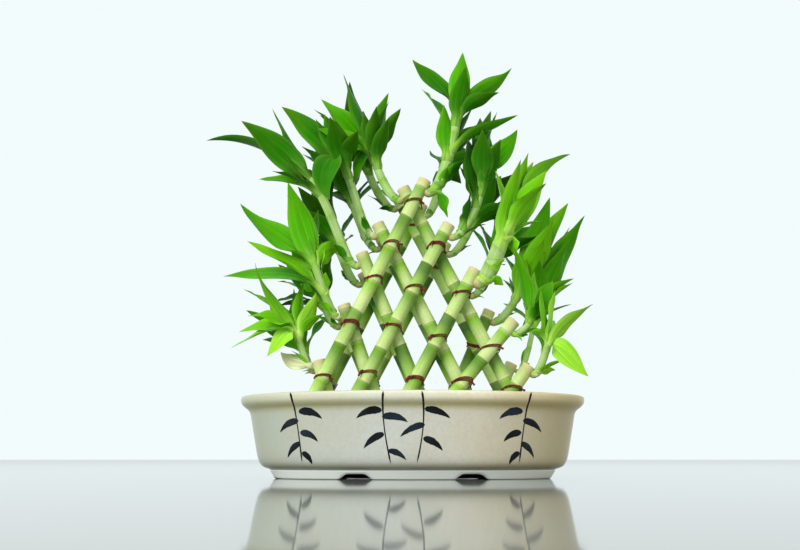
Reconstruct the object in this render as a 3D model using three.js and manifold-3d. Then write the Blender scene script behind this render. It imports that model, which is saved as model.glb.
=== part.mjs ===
// Potted lucky bamboo: two lattices of crossed canes stand one behind the other in an oval glazed dish.
// Millimetres, +Z up. The dish stands on z = 0 with its long side along X, and its front faces -Y.
import * as THREE from "three";
import { mergeVertices } from "three/addons/utils/BufferGeometryUtils.js";
import Module from "manifold-3d";

const wasm = await Module();
wasm.setup();

// Room left between pieces that touch, and the distance under which two corners are one
const clearance = 0.3;
const sameSpot = 1e-4;

// Dish: half sizes of the rim's oval, and heights above the table
const rimHalfLength = 124.7;
const rimHalfWidth = 81;
const rimHeight = 58.2;
const wallThickness = 6;
const footHeight = 6.5;
const footWidth = 8;
const recessHeight = 4;
const recessMiddle = 1;
const floorTop = 12;
const ovalFrom = 80;
const dishSegments = 40;

// Arched notches cut through the foot, front and back
const notchPlace = 39;
const notchBottomWidth = 25;
const notchTopWidth = 11;
const notchHeight = 3.8;
const notchDepth = 45;

// Pebble bed that holds the canes: pebbles in staggered rows, and how far their tops stand above the hollows
const bedHeight = 50;
const bedCrown = 2;
const pebbleSpacing = 12.6;
const pebbleRise = 4;
const pebbleShift = 2.4;
const pebbleSeed = 77;

// Canes: each cane's centre line is given where it passes the height of the lowest ties
const caneRadius = 4.75;
const caneSides = 7;
const ringSwell = 0.25;
const ringWidth = 1.2;
const internode = 25;
const caneFoot = 36;
const tieLevel = 64;
const latticeDepth = 28;
const caneSpread = 5.3;
const roomAboveCrossing = 6;

// Rising canes lean right and stand nearest the outside, falling canes lean left behind them
const canes = {
  front: {
    rising: { feet: [-66, -36.5, -0.7, 33, 71.5], leans: [26.8, 28.4, 28.7, 40, 36], tops: [213, 180, 147, 110, 78] },
    falling: {
      feet: [68, 35, 2.8, -28.8, -61.8], leans: [-27.2, -27, -22.4, -19.5, -15.3], tops: [210, 183, 161, 123, 83],
    },
  },
  rear: {
    rising: { feet: [-66, -35, 0, 33, 66.5], leans: [26.8, 28, 28, 23.5, 25], tops: [212, 181, 148, 127, 86] },
    falling: {
      feet: [66.5, 35, 2.8, -30, -63], leans: [-27.2, -26.5, -24, -22, -18], tops: [215, 183, 155, 122, 84],
    },
  },
};

// Wire ties
const tieHeight = 2;
const tieThickness = 1.3;

// Shoots: how far below the cut top a shoot leaves its cane, and its sides
const shootDrop = { long: 8, short: 4 };
const shortStubs = 4;
const stemSides = 5;
const stemSteps = 4;
const stemTaper = 0.15;
const rootPull = 0.15;
const tipPull = 0.4;

// Leaves
const leafRows = 3;
const leafThickness = 0.9;
const leafFold = 0.06;
const leafArch = 0.1;
const leafSlimness = 0.22;
const leafExtraWidth = 6.5;
const sheathWidth = 0.3;
const rootStep = 0.007;
const depthTries = [0, -9, 9, -18, 18, -27, 27, -38, 38];
const goldenAngle = 137.5;

// How far fusing may move a shoot's surface to save faces: the first that leaves it sound is taken
const fusedTolerances = [0.15, 0.12, 0.18, 0.1, 0.2, 0.08, 0.25, 0.05];
const shortestEdge = 0.001;

// A shoot's tip from its root as right, up and away, the heading of its tip, and its radius.
// A leaf is [place along the stem, heading, degrees away from the viewer, length, broadside].
// Headings are degrees right of straight up, seen from the front.
const shoots = {
  front: {
    falling: [
      {
        tip: [-23, 44, 4], heading: -10, radius: 3.4, extra: 2,
        leaves: [[1, -19, 6, 61, 0.5], [0.95, 15, 12, 50, 0.6], [0.8, 31, -22, 42, 0.65], [0.9, -41, 10, 61, 0.8],
          [0.95, -155, -14, 32, 0.7], [1, -12, -12, 27, 0.5], [0.85, -66, -12, 46, 0.8]],
      },
      {
        tip: [-27, 62, 0], heading: -25, radius: 3.3, extra: 1,
        leaves: [[1, -49, 4, 59, 0.9], [0.95, -164, -22, 42, 0.85], [1, -34, -14, 33, 0.65], [1, 4, 8, 32, 0.6],
          [1, -20, 14, 40, 0.9], [0.9, 32, -16, 35, 0.7]],
      },
      {
        tip: [-38, 66, -10], heading: -42, radius: 3.6, extra: 1,
        leaves: [[1, -53, -6, 58, 1], [0.95, -25, 6, 62, 0.4], [0.9, -64, 16, 97, 0.2], [0.85, -73, -20, 35, 0.2],
          [0.75, -67, 24, 55, 0.55]],
      },
      {
        tip: [-20, 41, -12], heading: -22, radius: 3.1, extra: 1,
        leaves: [[1, -18, -4, 58, 1], [1, -52, 4, 71, 0.85], [0.9, -70, -10, 51, 0.85], [0.8, -89, 10, 71, 0.75],
          [0.5, 6, 0, 14, 0.6], [0.95, 46, 38, 38, 0.8]],
      },
      {
        tip: [-13, 30, -4], heading: -15, radius: 2.6, extra: 0,
        leaves: [[1, -36, 8, 58, 0.3], [1, -54, 22, 54, 0.25], [1, -80, -16, 34, 0.75], [0.9, -90, 12, 43, 0.6],
          [0.95, -108, -8, 47, 0.4], [0.9, -136, -26, 30, 0.95], [1, 8, 14, 37, 0.5], [0.9, 27, -10, 31, 0.75],
          [0.12, -67, -6, 21, 0.5], [0.85, 52, -4, 24, 0.6]],
      },
    ],
    rising: [
      {
        tip: [22, 66, -6], heading: 2, radius: 4.2, extra: 0,
        leaves: [[1, -41, 10, 50, 0.85], [1, 7, 6, 42, 1], [0.85, 11, -22, 38, 0.95], [0.97, 51, 8, 54, 0.6],
          [0.9, 66, -16, 35, 0.5], [0.75, 79, -8, 49, 0.22], [0.5, -7, -18, 35, 0.95], [0.75, -30, 24, 50, 0.45],
          [0.2, 50, -8, 22, 0.5], [0.12, 14, 14, 20, 0.6], [0.08, 152, 10, 22, 0.5], [0.5, -18, 18, 28, 0.25]],
      },
      {
        tip: [23, 54, 2], heading: -12, radius: 3.4, extra: 1,
        leaves: [[0.6, -12, -8, 44, 0.8], [0.55, -27, -12, 29, 0.5], [1, 6, 4, 54, 0.6], [1, 12, 14, 48, 0.25],
          [0.97, 41, -4, 40, 0.9], [0.75, 22, -8, 38, 0.8], [1, -22, 8, 30, 0.7], [0.25, 8, -12, 26, 0.45]],
      },
      {
        tip: [25, 50, -10], heading: 20, radius: 6, extra: 2,
        leaves: [[0.8, 36, -8, 49, 0.95], [0.65, 13, -16, 57, 0.8], [0.9, 17, 2, 52, 0.5], [1, 24, 14, 46, 0.5],
          [0.95, 42, 20, 78, 0.35], [0.7, 147, 18, 18, 0.55], [0.15, 118, -8, 14, 0.5]],
      },
      {
        tip: [14, 14, -8], heading: 5, radius: 2.6, extra: 2,
        leaves: [[1, -17, -8, 14, 0.6], [1, 3, 4, 30, 0.45], [0.8, 24, -20, 18, 0.6]],
      },
      {
        tip: [11, 24, -6], heading: 10, radius: 3, extra: 0,
        leaves: [[1, -11, -6, 38, 0.5], [1, 9, 6, 36, 0.3], [0.95, 50, -8, 41, 0.65], [0.95, 134, -18, 37, 0.95],
          [0.1, 80, -10, 14, 0.5], [0.9, 24, 48, 34, 0.8], [0.85, -20, 56, 30, 0.8]],
      },
    ],
  },
  rear: {
    falling: [
      { tip: [-30, 54, 4], heading: -15, radius: 3.4, extra: 9, leaves: [] },
      { tip: [-30, 60, 8], heading: -25, radius: 3.3, extra: 8, leaves: [[1, -8, 4, 46, 0.8]] },
      { tip: [-27, 48, 8], heading: -30, radius: 3.3, extra: 8, leaves: [[1, -14, 0, 44, 0.8]] },
      { tip: [-20, 32, 10], heading: -30, radius: 3, extra: 9, leaves: [] },
      { tip: [-14, 26, 6], heading: -35, radius: 2.6, extra: 8, leaves: [] },
    ],
    rising: [
      {
        tip: [18, 52, 4], heading: 12, radius: 3.4, extra: 0,
        leaves: [[1, 52, -4, 40, 0.7], [1, 30, -8, 44, 0.3], [0.95, 18, 40, 44, 0.8], [0.9, 42, 50, 46, 0.8],
          [0.85, 66, 30, 36, 0.7], [0.8, 100, 62, 36, 0.8], [0.9, -30, 60, 40, 0.8]],
      },
      { tip: [28, 44, 6], heading: 20, radius: 3.3, extra: 8, leaves: [] },
      { tip: [26, 44, 8], heading: 25, radius: 3.3, extra: 9, leaves: [] },
      {
        tip: [28, 36, 4], heading: 22, radius: 3.4, extra: 8,
        leaves: [[1, 17, -4, 67, 1], [1, 30, 8, 74, 0.7]],
      },
      {
        tip: [21, 58, 4], heading: 18, radius: 3, extra: 7,
        leaves: [[1, 29, -4, 74, 0.85], [0.95, 56, 6, 34, 0.4], [1, 31, 12, 43, 0.2], [1, 24, 10, 67, 0.4]],
      },
    ],
  },
};

// Leaves that no row above names: angle from the stem and length, at the foot and the tip of the leafy part
const freeSpread = [66, 20];
const freeLength = [36, 50];
const freeStart = 0.62;

const colours = {
  glaze: "#d9cfb4",
  pebble: "#b9b2a2",
  cane: "#a9c26a",
  leaf: "#3f9a16",
  wire: "#6b1a14",
};
const materials = {
  glaze: new THREE.MeshStandardMaterial({ color: colours.glaze, roughness: 0.25, metalness: 0 }),
  pebble: new THREE.MeshStandardMaterial({ color: colours.pebble, roughness: 0.7, metalness: 0 }),
  cane: new THREE.MeshStandardMaterial({ color: colours.cane, roughness: 0.45, metalness: 0 }),
  leaf: new THREE.MeshStandardMaterial({ color: colours.leaf, roughness: 0.5, metalness: 0 }),
  wire: new THREE.MeshStandardMaterial({ color: colours.wire, roughness: 0.4, metalness: 0 }),
};

const up = new THREE.Vector3(0, 0, 1);
const away = new THREE.Vector3(0, 1, 0);
const radians = THREE.MathUtils.degToRad;

// A repeatable stream of numbers from 0 to 1
function seededDraw(seed) {
  let state = seed >>> 0;
  return () => {
    state = (Math.imul(state, 1664525) + 1013904223) >>> 0;
    return state / 4294967296;
  };
}

// A merged surface's triangles, without those that have shrunk to a line
function facesOf(merged) {
  const index = Array.from(merged.index.array);
  const faces = [];
  for (let i = 0; i < index.length; i += 3) {
    const [a, b, c] = index.slice(i, i + 3);
    if (a !== b && b !== c && c !== a) {
      faces.push([a, b, c]);
    }
  }
  return faces;
}

// True where each edge of a surface joins just two faces and has a real length
function isSound(geometry) {
  const merged = mergeVertices(geometry, sameSpot);
  const corner = (i) => new THREE.Vector3().fromBufferAttribute(merged.attributes.position, i);
  const facesAtEdge = new Map();
  for (const face of facesOf(merged)) {
    for (let side = 0; side < 3; side++) {
      const ends = [face[side], face[(side + 1) % 3]].sort((a, b) => a - b);
      if (corner(ends[0]).distanceTo(corner(ends[1])) < shortestEdge) {
        return false;
      }
      facesAtEdge.set(ends.join(), (facesAtEdge.get(ends.join()) ?? 0) + 1);
    }
  }
  return [...facesAtEdge.values()].every((count) => count === 2);
}

// One closed surface, its shared corners merged and its faces turned outwards
function closedSurface(geometry) {
  geometry.deleteAttribute("normal");
  geometry.deleteAttribute("uv");
  const merged = mergeVertices(geometry, sameSpot);
  const place = merged.attributes.position;
  const kept = facesOf(merged).flat();
  const corner = (i) => new THREE.Vector3().fromBufferAttribute(place, i);
  let volume = 0;
  for (let i = 0; i < kept.length; i += 3) {
    volume += corner(kept[i]).dot(corner(kept[i + 1]).cross(corner(kept[i + 2])));
  }
  if (volume < 0) {
    kept.reverse();
  }
  merged.setIndex(kept);
  return merged;
}

function solidOf(geometry) {
  const surface = closedSurface(geometry);
  return new wasm.Manifold(new wasm.Mesh({
    numProp: 3,
    vertProperties: new Float32Array(surface.attributes.position.array),
    triVerts: new Uint32Array(surface.index.array),
  }));
}

function geometryOf(solid) {
  const mesh = solid.getMesh();
  const geometry = new THREE.BufferGeometry();
  geometry.setAttribute("position", new THREE.BufferAttribute(new Float32Array(mesh.vertProperties), 3));
  geometry.setIndex(new THREE.BufferAttribute(new Uint32Array(mesh.triVerts), 1));
  return geometry;
}

// Pieces fused into one body: hollows that the fusing seals are filled and loose scraps are dropped
function fused(pieces) {
  const bodies = wasm.Manifold.union(pieces).decompose();
  const whole = bodies.reduce((largest, body) => (body.volume() > largest.volume() ? body : largest)).asOriginal();
  const simpler = fusedTolerances.map((tolerance) => geometryOf(whole.simplify(tolerance)));
  return simpler.find(isSound) ?? geometryOf(whole);
}

const plant = new THREE.Group();

function addPiece(name, geometry, material) {
  const mesh = new THREE.Mesh(geometry, material);
  mesh.name = name;
  mesh.geometry.computeVertexNormals();
  plant.add(mesh);
  return mesh;
}

// A profile of [half length, height] swept round the dish's oval
function sweptOval(profile, segments) {
  const narrowing = rimHalfLength - rimHalfWidth;
  const halfWidth = (r) => (r > ovalFrom ? r - narrowing : (r * (ovalFrom - narrowing)) / ovalFrom);
  const geometry = new THREE.LatheGeometry(profile.map(([r, z]) => new THREE.Vector2(r, z)), segments);
  geometry.rotateX(Math.PI / 2);
  const place = geometry.attributes.position;
  for (let i = 0; i < place.count; i++) {
    const radius = Math.hypot(place.getX(i), place.getY(i));
    if (radius > sameSpot) {
      place.setY(i, (place.getY(i) * halfWidth(radius)) / radius);
    }
  }
  return geometry;
}

// Half length of the dish's inside at a height
const insideFloor = rimHalfLength - 26.5;
const insideShoulder = [rimHalfLength - 21.5, floorTop + 4];
const insideTop = [rimHalfLength - 6.4 - wallThickness, 50];
function insideAt(height) {
  const share = (height - insideShoulder[1]) / (insideTop[1] - insideShoulder[1]);
  return insideShoulder[0] + share * (insideTop[0] - insideShoulder[0]);
}

function dish() {
  const footOutside = rimHalfLength - 25.7;
  const profile = [
    [0, recessMiddle],
    [footOutside - footWidth - 1, recessHeight],
    [footOutside - footWidth, 0],
    [footOutside, 0],
    [footOutside + 3.6, footHeight - 1],
    [footOutside + 3.4, footHeight],
    [rimHalfLength - 17.5, footHeight + 1.5],
    [rimHalfLength - 13.6, 11.2],
    [rimHalfLength - 6.4, 50],
    [rimHalfLength - 6.1, 51.4],
    [rimHalfLength - 1.6, 52],
    [rimHalfLength, 54],
    [rimHalfLength - 0.4, 57],
    [rimHalfLength - 2.8, rimHeight],
    [rimHalfLength - 6.6, 57.4],
    [rimHalfLength - 9.6, 54.4],
    insideTop,
    insideShoulder,
    [insideFloor, floorTop],
    [0, floorTop],
  ];
  let solid = solidOf(sweptOval(profile, dishSegments));
  for (const side of [-1, 1]) {
    const arch = new THREE.Shape([
      new THREE.Vector2(-notchBottomWidth / 2, -1),
      new THREE.Vector2(notchBottomWidth / 2, -1),
      new THREE.Vector2(notchTopWidth / 2, notchHeight),
      new THREE.Vector2(-notchTopWidth / 2, notchHeight),
    ]);
    for (const nearEnd of [-rimHalfWidth, rimHalfWidth - notchDepth]) {
      const tunnel = new THREE.ExtrudeGeometry(arch, { depth: notchDepth, bevelEnabled: false });
      tunnel.rotateX(Math.PI / 2);
      tunnel.translate(side * notchPlace, nearEnd + notchDepth, 0);
      solid = solid.subtract(solidOf(tunnel));
    }
  }
  return geometryOf(solid);
}

// A cane's cut foot, its cut top and its direction; side is -1 for the front lattice and 1 for the rear
function caneLine(side, kind, number) {
  const screen = side < 0 ? "front" : "rear";
  const { feet, leans, tops } = canes[screen][kind];
  const lean = radians(leans[number]);
  const direction = new THREE.Vector3(Math.sin(lean), 0, Math.cos(lean));
  const depth = side * (latticeDepth + (kind === "rising" ? caneSpread : -caneSpread));
  const pointAt = (height) => new THREE.Vector3(feet[number] + (height - tieLevel) * Math.tan(lean), depth, height);
  return { screen, kind, number, side, direction, lean, foot: pointAt(caneFoot), top: pointAt(tops[number]) };
}

// A cane stands along +Z from its foot, with a swollen ring at the lower end of each internode
function caneGeometry(line) {
  const length = line.top.distanceTo(line.foot);
  const draw = seededDraw(line.number * 7 + (line.kind === "rising" ? 3 : 5) + (line.side > 0 ? 90 : 0));
  const profile = [[0, 0], [caneRadius, 0]];
  let ring = internode * (0.35 + 0.6 * draw());
  while (ring < length - 2 * ringWidth) {
    profile.push([caneRadius + ringSwell, ring], [caneRadius, ring + ringWidth]);
    ring += internode * (0.9 + 0.2 * draw());
  }
  profile.push([caneRadius, length], [0, length]);
  const geometry = new THREE.LatheGeometry(profile.map(([r, y]) => new THREE.Vector2(r, y)), caneSides);
  geometry.rotateX(Math.PI / 2);
  return geometry;
}

function turnedTo(direction) {
  return new THREE.Quaternion().setFromUnitVectors(up, direction);
}

// A block whose top has a peak at each pebble and a hollow at every other corner of its grid
function pebbledBlock() {
  const stepX = pebbleSpacing / 2;
  const stepY = stepX * Math.sin(Math.PI / 3);
  const columns = Math.ceil(rimHalfLength / stepX);
  const rows = Math.ceil(rimHalfWidth / stepY);
  const draw = seededDraw(pebbleSeed);
  const peaks = new Map();
  for (let row = -rows; row <= rows; row++) {
    for (let column = -columns; column <= columns; column++) {
      if (row % 2 === 0 && (column + row / 2) % 2 === 0) {
        const shift = [pebbleShift * (draw() - 0.5), pebbleShift * (draw() - 0.5)];
        peaks.set(`${column},${row}`, { shift, sunk: 0.4 * pebbleRise * draw() });
      }
    }
  }
  const size = [2 * columns * stepX, 2 * rows * stepY, 2 * bedHeight];
  const block = new THREE.BoxGeometry(...size, 2 * columns, 2 * rows, 1);
  const place = block.attributes.position;
  for (let i = 0; i < place.count; i++) {
    if (place.getZ(i) > 0) {
      const [x, y] = [place.getX(i), place.getY(i)];
      const peak = peaks.get(`${Math.round(x / stepX)},${Math.round(y / stepY)}`);
      const { shift, sunk } = peak ?? { shift: [0, 0], sunk: pebbleRise };
      const fall = bedCrown * ((x / rimHalfLength) ** 2 + (y / rimHalfWidth) ** 2);
      place.setXYZ(i, x + shift[0], y + shift[1], bedHeight - fall - sunk);
    }
  }
  return solidOf(block);
}

// The bed fills the dish round the canes, which stand in sockets
function pebbleBed(lines) {
  const socketRadius = caneRadius + ringSwell + clearance;
  const inside = (height) => insideAt(height) - clearance - 0.2;
  const profile = [
    [0, floorTop + clearance],
    [insideFloor - clearance, floorTop + clearance],
    [inside(insideShoulder[1] + clearance), insideShoulder[1] + clearance],
    [inside(bedHeight), bedHeight],
    [0, bedHeight],
  ];
  let bed = solidOf(sweptOval(profile, dishSegments / 2)).intersect(pebbledBlock());
  for (const line of lines) {
    const depth = 4 * (bedHeight - caneFoot);
    const socket = new THREE.CylinderGeometry(socketRadius, socketRadius, depth, caneSides);
    socket.rotateX(Math.PI / 2);
    socket.translate(0, 0, depth / 2 - clearance);
    socket.applyQuaternion(turnedTo(line.direction));
    socket.translate(...line.foot);
    bed = bed.subtract(solidOf(socket));
  }
  return fused([bed]);
}

// Where a rising and a falling cane of one lattice cross, or null above the shorter of them
function crossing(rising, falling) {
  const slopes = Math.tan(rising.lean) - Math.tan(falling.lean);
  const height = rising.foot.z + (falling.foot.x - rising.foot.x) / slopes;
  const highest = Math.min(rising.top.z, falling.top.z) - roomAboveCrossing;
  if (height < rimHeight || height > highest) {
    return null;
  }
  const x = rising.foot.x + (height - rising.foot.z) * Math.tan(rising.lean);
  return new THREE.Vector3(x, rising.side * latticeDepth, height);
}

// A wire tie: a flat ring round both canes, straight between them and round at the front and back
function tieGeometry(rising, falling) {
  const steepest = Math.max(rising.lean, -falling.lean);
  const slack = (tieHeight / 2) * Math.tan(steepest) + ringSwell + clearance + tieThickness / 2;
  const halfWidth = caneRadius / Math.cos(steepest) + slack;
  const roundDepth = caneRadius + ringSwell + clearance + tieThickness / 2;
  const plainRadius = 10;
  const geometry = new THREE.TorusGeometry(plainRadius, 1, 4, 12);
  const place = geometry.attributes.position;
  for (let i = 0; i < place.count; i++) {
    const angle = Math.atan2(place.getY(i), place.getX(i));
    const outwards = Math.hypot(place.getX(i), place.getY(i)) - plainRadius;
    const x = (halfWidth + (outwards * tieThickness) / 2) * Math.cos(angle);
    const roundY = (roundDepth + (outwards * tieThickness) / 2) * Math.sin(angle);
    const towards = Math.abs(roundY) > sameSpot ? Math.sign(roundY) : 0;
    const y = roundY + caneSpread * towards;
    place.setXYZ(i, x, y, (place.getZ(i) * tieHeight) / 2);
  }
  return closedSurface(geometry);
}

// A direction from a heading right of straight up and an angle away from the viewer
function directionOf(heading, depth) {
  const flat = Math.cos(radians(depth));
  return new THREE.Vector3(
    Math.sin(radians(heading)) * flat, Math.sin(radians(depth)), Math.cos(radians(heading)) * flat);
}

// The curve of a shoot's stem, from its root beside the cane's stub to its tip
function stemCurve(line, shoot) {
  const drop = line.number < shortStubs ? shootDrop.long : shootDrop.short;
  const outward = new THREE.Vector3(line.direction.z, 0, -line.direction.x);
  outward.multiplyScalar(line.kind === "rising" ? 1 : -1);
  const root = line.top.clone().addScaledVector(line.direction, -drop);
  root.addScaledVector(outward, caneRadius + ringSwell + clearance);
  const [right, rise, back] = shoot.tip;
  const tip = root.clone().add(new THREE.Vector3(right, back, rise));
  const reach = tip.distanceTo(root);
  const lower = root.clone().addScaledVector(outward, reach * rootPull);
  const upper = tip.clone().addScaledVector(directionOf(shoot.heading, 0), -reach * tipPull);
  return new THREE.CubicBezierCurve3(root, lower, upper, tip);
}

// A tapered stem along its curve
function stemSolid(curve, radius) {
  const tube = new THREE.CylinderGeometry(1, 1, 1, stemSides, stemSteps);
  const frames = curve.computeFrenetFrames(stemSteps);
  const place = tube.attributes.position;
  for (let i = 0; i < place.count; i++) {
    const step = Math.round((place.getY(i) + 0.5) * stemSteps);
    const share = step / stemSteps;
    const size = radius * (1 - stemTaper * share);
    const point = curve.getPointAt(share);
    point.addScaledVector(frames.normals[step], place.getX(i) * size);
    point.addScaledVector(frames.binormals[step], place.getZ(i) * size);
    place.setXYZ(i, point.x, point.y, point.z);
  }
  return solidOf(tube);
}

// A leaf's half width as a share of its greatest, from its sheath to its tip
function leafOutline(share) {
  if (share <= 0) {
    return sheathWidth;
  }
  return 1.08 * Math.sin(Math.PI * share ** 0.8) ** 0.8 + sheathWidth * (1 - share) ** 6;
}

// A lance-shaped blade with two edges and a keel under its midrib; grow makes it fatter all round for the clearance test
function leafSolid(root, direction, sideways, length, width, grow = 0) {
  const blade = new THREE.ConeGeometry(1, 1, 3, leafRows);
  const face = direction.clone().cross(sideways).normalize();
  if (face.z < 0) {
    face.negate();
  }
  const lift = up.clone().addScaledVector(direction, -up.dot(direction)).multiplyScalar(leafArch * length);
  const place = blade.attributes.position;
  for (let i = 0; i < place.count; i++) {
    const row = Math.round((place.getY(i) + 0.5) * leafRows);
    const share = row / leafRows;
    const half = row === leafRows ? 0 : (width / 2) * leafOutline(share) + grow;
    const deep = row === leafRows ? 0 : leafThickness + 2 * leafFold * half + grow;
    const bow = 4 * share * (1 - share);
    const edge = Math.abs(place.getX(i)) > sameSpot ? Math.sign(place.getX(i)) : 0;
    const point = root.clone().addScaledVector(direction, length * share).addScaledVector(lift, bow);
    point.addScaledVector(sideways, edge * half);
    point.addScaledVector(face, edge === 0 ? -deep : grow);
    place.setXYZ(i, point.x, point.y, point.z);
  }
  return solidOf(blade);
}

// Solids that a new leaf has to keep clear of, each with the shoot it belongs to
const standing = [];

function boxesMeet(a, b) {
  return [0, 1, 2].every((k) => a.min[k] <= b.max[k] && b.min[k] <= a.max[k]);
}

function isFree(solid, owner) {
  const box = solid.boundingBox();
  return standing.every((other) => other.owner === owner || !boxesMeet(box, other.box)
    || solid.intersect(other.solid).isEmpty());
}

function stand(solid, owner) {
  standing.push({ solid, owner, box: solid.boundingBox() });
}

// A leaf from a shoot's row: it turns further from or nearer the viewer until nothing is in its way
function namedLeaf(growth, [share, heading, depth, length, broadside], order) {
  const root = growth.curve.getPointAt(share * (1 - rootStep * order));
  const width = leafSlimness * length + leafExtraWidth;
  for (const turn of depthTries) {
    const direction = directionOf(heading, depth + turn);
    const flat = new THREE.Vector3(Math.cos(radians(heading)), 0, -Math.sin(radians(heading)));
    const edge = direction.clone().cross(flat);
    const sideways = flat.multiplyScalar(broadside).addScaledVector(edge, Math.sqrt(1 - broadside ** 2));
    if (isFree(leafSolid(root, direction, sideways, length, width, clearance), growth.name)) {
      return leafSolid(root, direction, sideways, length, width);
    }
  }
  return null;
}

// A leaf from the rule: leaves wind up the stem, wide open at its foot and steep at its tip
function freeLeaf(growth, count, order, draw) {
  const high = (order + 0.5) / count;
  const share = freeStart + (1 - freeStart) * high;
  const root = growth.curve.getPointAt(share);
  const axis = growth.curve.getTangentAt(share);
  const aside = axis.clone().cross(away).normalize();
  const across = axis.clone().cross(aside);
  const tilt = THREE.MathUtils.lerp(...freeSpread, high) + 14 * (draw() - 0.5);
  const length = THREE.MathUtils.lerp(...freeLength, high) * (0.75 + 0.4 * draw());
  const width = leafSlimness * length + leafExtraWidth;
  const start = goldenAngle * order + 60 * draw() + growth.turn;
  for (const turn of depthTries) {
    const around = radians(start + 1.6 * turn);
    const outward = aside.clone().multiplyScalar(Math.cos(around)).addScaledVector(across, Math.sin(around));
    const direction = axis.clone().multiplyScalar(Math.cos(radians(tilt)));
    direction.addScaledVector(outward, Math.sin(radians(tilt)));
    const sideways = axis.clone().cross(outward).normalize();
    if (isFree(leafSolid(root, direction, sideways, length, width, clearance), growth.name)) {
      return leafSolid(root, direction, sideways, length, width);
    }
  }
  return null;
}

function addLeaf(growth, leaf) {
  if (leaf) {
    growth.pieces.push(leaf);
    stand(leaf, growth.name);
  }
}

// The dish, its pebbles and the canes
const lines = [];
for (const side of [-1, 1]) {
  for (const kind of ["rising", "falling"]) {
    for (let number = 0; number < 5; number++) {
      lines.push(caneLine(side, kind, number));
    }
  }
}
addPiece("dish", dish(), materials.glaze);
addPiece("pebble_bed", pebbleBed(lines), materials.pebble);
for (const line of lines) {
  const geometry = closedSurface(caneGeometry(line));
  const mesh = addPiece(`${line.screen}_${line.kind}_cane_${line.number + 1}`, geometry, materials.cane);
  mesh.position.copy(line.foot);
  mesh.quaternion.copy(turnedTo(line.direction));
  const fat = caneGeometry(line);
  fat.applyQuaternion(mesh.quaternion);
  fat.translate(...line.foot);
  stand(solidOf(fat), mesh.name);
}
stand(solidOf(sweptOval([[0, 0], [rimHalfLength, 0], [rimHalfLength, rimHeight], [0, rimHeight]], 24)), "dish");

// The front lattice's ties; tie_3_2 binds the third rising cane to the second falling one
const frontLines = lines.filter((line) => line.side < 0);
for (const rising of frontLines.filter((line) => line.kind === "rising")) {
  for (const falling of frontLines.filter((line) => line.kind === "falling")) {
    const centre = crossing(rising, falling);
    if (centre) {
      const ring = tieGeometry(rising, falling);
      const mesh = addPiece(`tie_${rising.number + 1}_${falling.number + 1}`, ring, materials.wire);
      mesh.position.copy(centre);
      stand(solidOf(ring.clone().translate(...centre)), mesh.name);
    }
  }
}

// The shoots: first every stem, then the leaves that the rows name, then those of the rule
const growths = lines.map((line, order) => {
  const shoot = shoots[line.screen][line.kind][line.number];
  const curve = stemCurve(line, shoot);
  const stem = stemSolid(curve, shoot.radius);
  const name = `${line.screen}_${line.kind}_shoot_${line.number + 1}`;
  stand(stem, name);
  return { name, shoot, curve, pieces: [stem], turn: 77 * order };
});
for (const growth of growths) {
  growth.shoot.leaves.forEach((row, order) => addLeaf(growth, namedLeaf(growth, row, order)));
}
growths.forEach((growth, number) => {
  const draw = seededDraw(1000 + number);
  for (let order = 0; order < growth.shoot.extra; order++) {
    addLeaf(growth, freeLeaf(growth, growth.shoot.extra, order, draw));
  }
});
for (const growth of growths) {
  addPiece(growth.name, fused(growth.pieces), materials.leaf);
}

// The origin goes under the middle of the whole plant, on the table
const extent = new THREE.Box3().setFromObject(plant);
const middle = extent.getCenter(new THREE.Vector3());
plant.position.set(-middle.x, -middle.y, 0);

const model = new THREE.Group();
model.add(plant);
export default model;
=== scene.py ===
"""Potted lucky bamboo: two lattices of tied canes with leafy shoots, set in pebbles in an oval glazed dish.

Every shape is worked out in millimetres round the middle of the dish, with +Z up and the viewer at -Y.
finish_piece turns it into metres and moves it to the dish's place in the frame.
"""

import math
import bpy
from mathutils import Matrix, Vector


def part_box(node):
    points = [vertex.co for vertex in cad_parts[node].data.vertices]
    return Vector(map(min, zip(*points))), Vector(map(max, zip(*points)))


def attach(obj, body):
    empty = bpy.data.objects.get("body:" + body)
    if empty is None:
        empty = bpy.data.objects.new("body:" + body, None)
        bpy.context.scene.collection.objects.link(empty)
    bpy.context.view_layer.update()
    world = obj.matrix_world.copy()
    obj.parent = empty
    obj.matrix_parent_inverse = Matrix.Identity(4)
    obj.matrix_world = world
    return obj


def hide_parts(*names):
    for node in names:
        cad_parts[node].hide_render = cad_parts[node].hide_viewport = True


bl_info = {
    "name": "Potted Lucky Bamboo",
    "version": (1, 0, 0),
    "blender": (4, 5, 0),
    "location": "3D View > Sidebar > Lucky Bamboo",
    "description": "Dresses a packed lucky bamboo with dish, pebbles, canes, wire ties, stems and leaves",
    "category": "Object",
}

from collections import namedtuple

import bmesh
import bpy
from bpy.props import FloatProperty, FloatVectorProperty, IntProperty, PointerProperty
from mathutils import Vector, noise
from mathutils.bvhtree import BVHTree

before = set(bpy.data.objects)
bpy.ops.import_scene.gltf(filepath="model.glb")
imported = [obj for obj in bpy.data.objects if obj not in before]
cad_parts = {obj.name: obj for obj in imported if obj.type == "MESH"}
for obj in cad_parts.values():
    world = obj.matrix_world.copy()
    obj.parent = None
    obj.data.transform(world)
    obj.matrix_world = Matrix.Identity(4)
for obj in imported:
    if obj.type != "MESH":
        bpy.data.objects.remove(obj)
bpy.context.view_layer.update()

# One millimetre in metres, up and away from the viewer, how near corners lie that are merged, and the names
# of the pieces' map and of what the cane's skin reads from its corners
MM = 0.001
UP = Vector((0, 0, 1))
AWAY = Vector((0, 1, 0))
SAME_SPOT = 1e-4
SURFACE_MAP = "Surface"
NEAR_CUT = "near_cut"
GREENNESS_AND_SHADE = "greenness"

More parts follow.
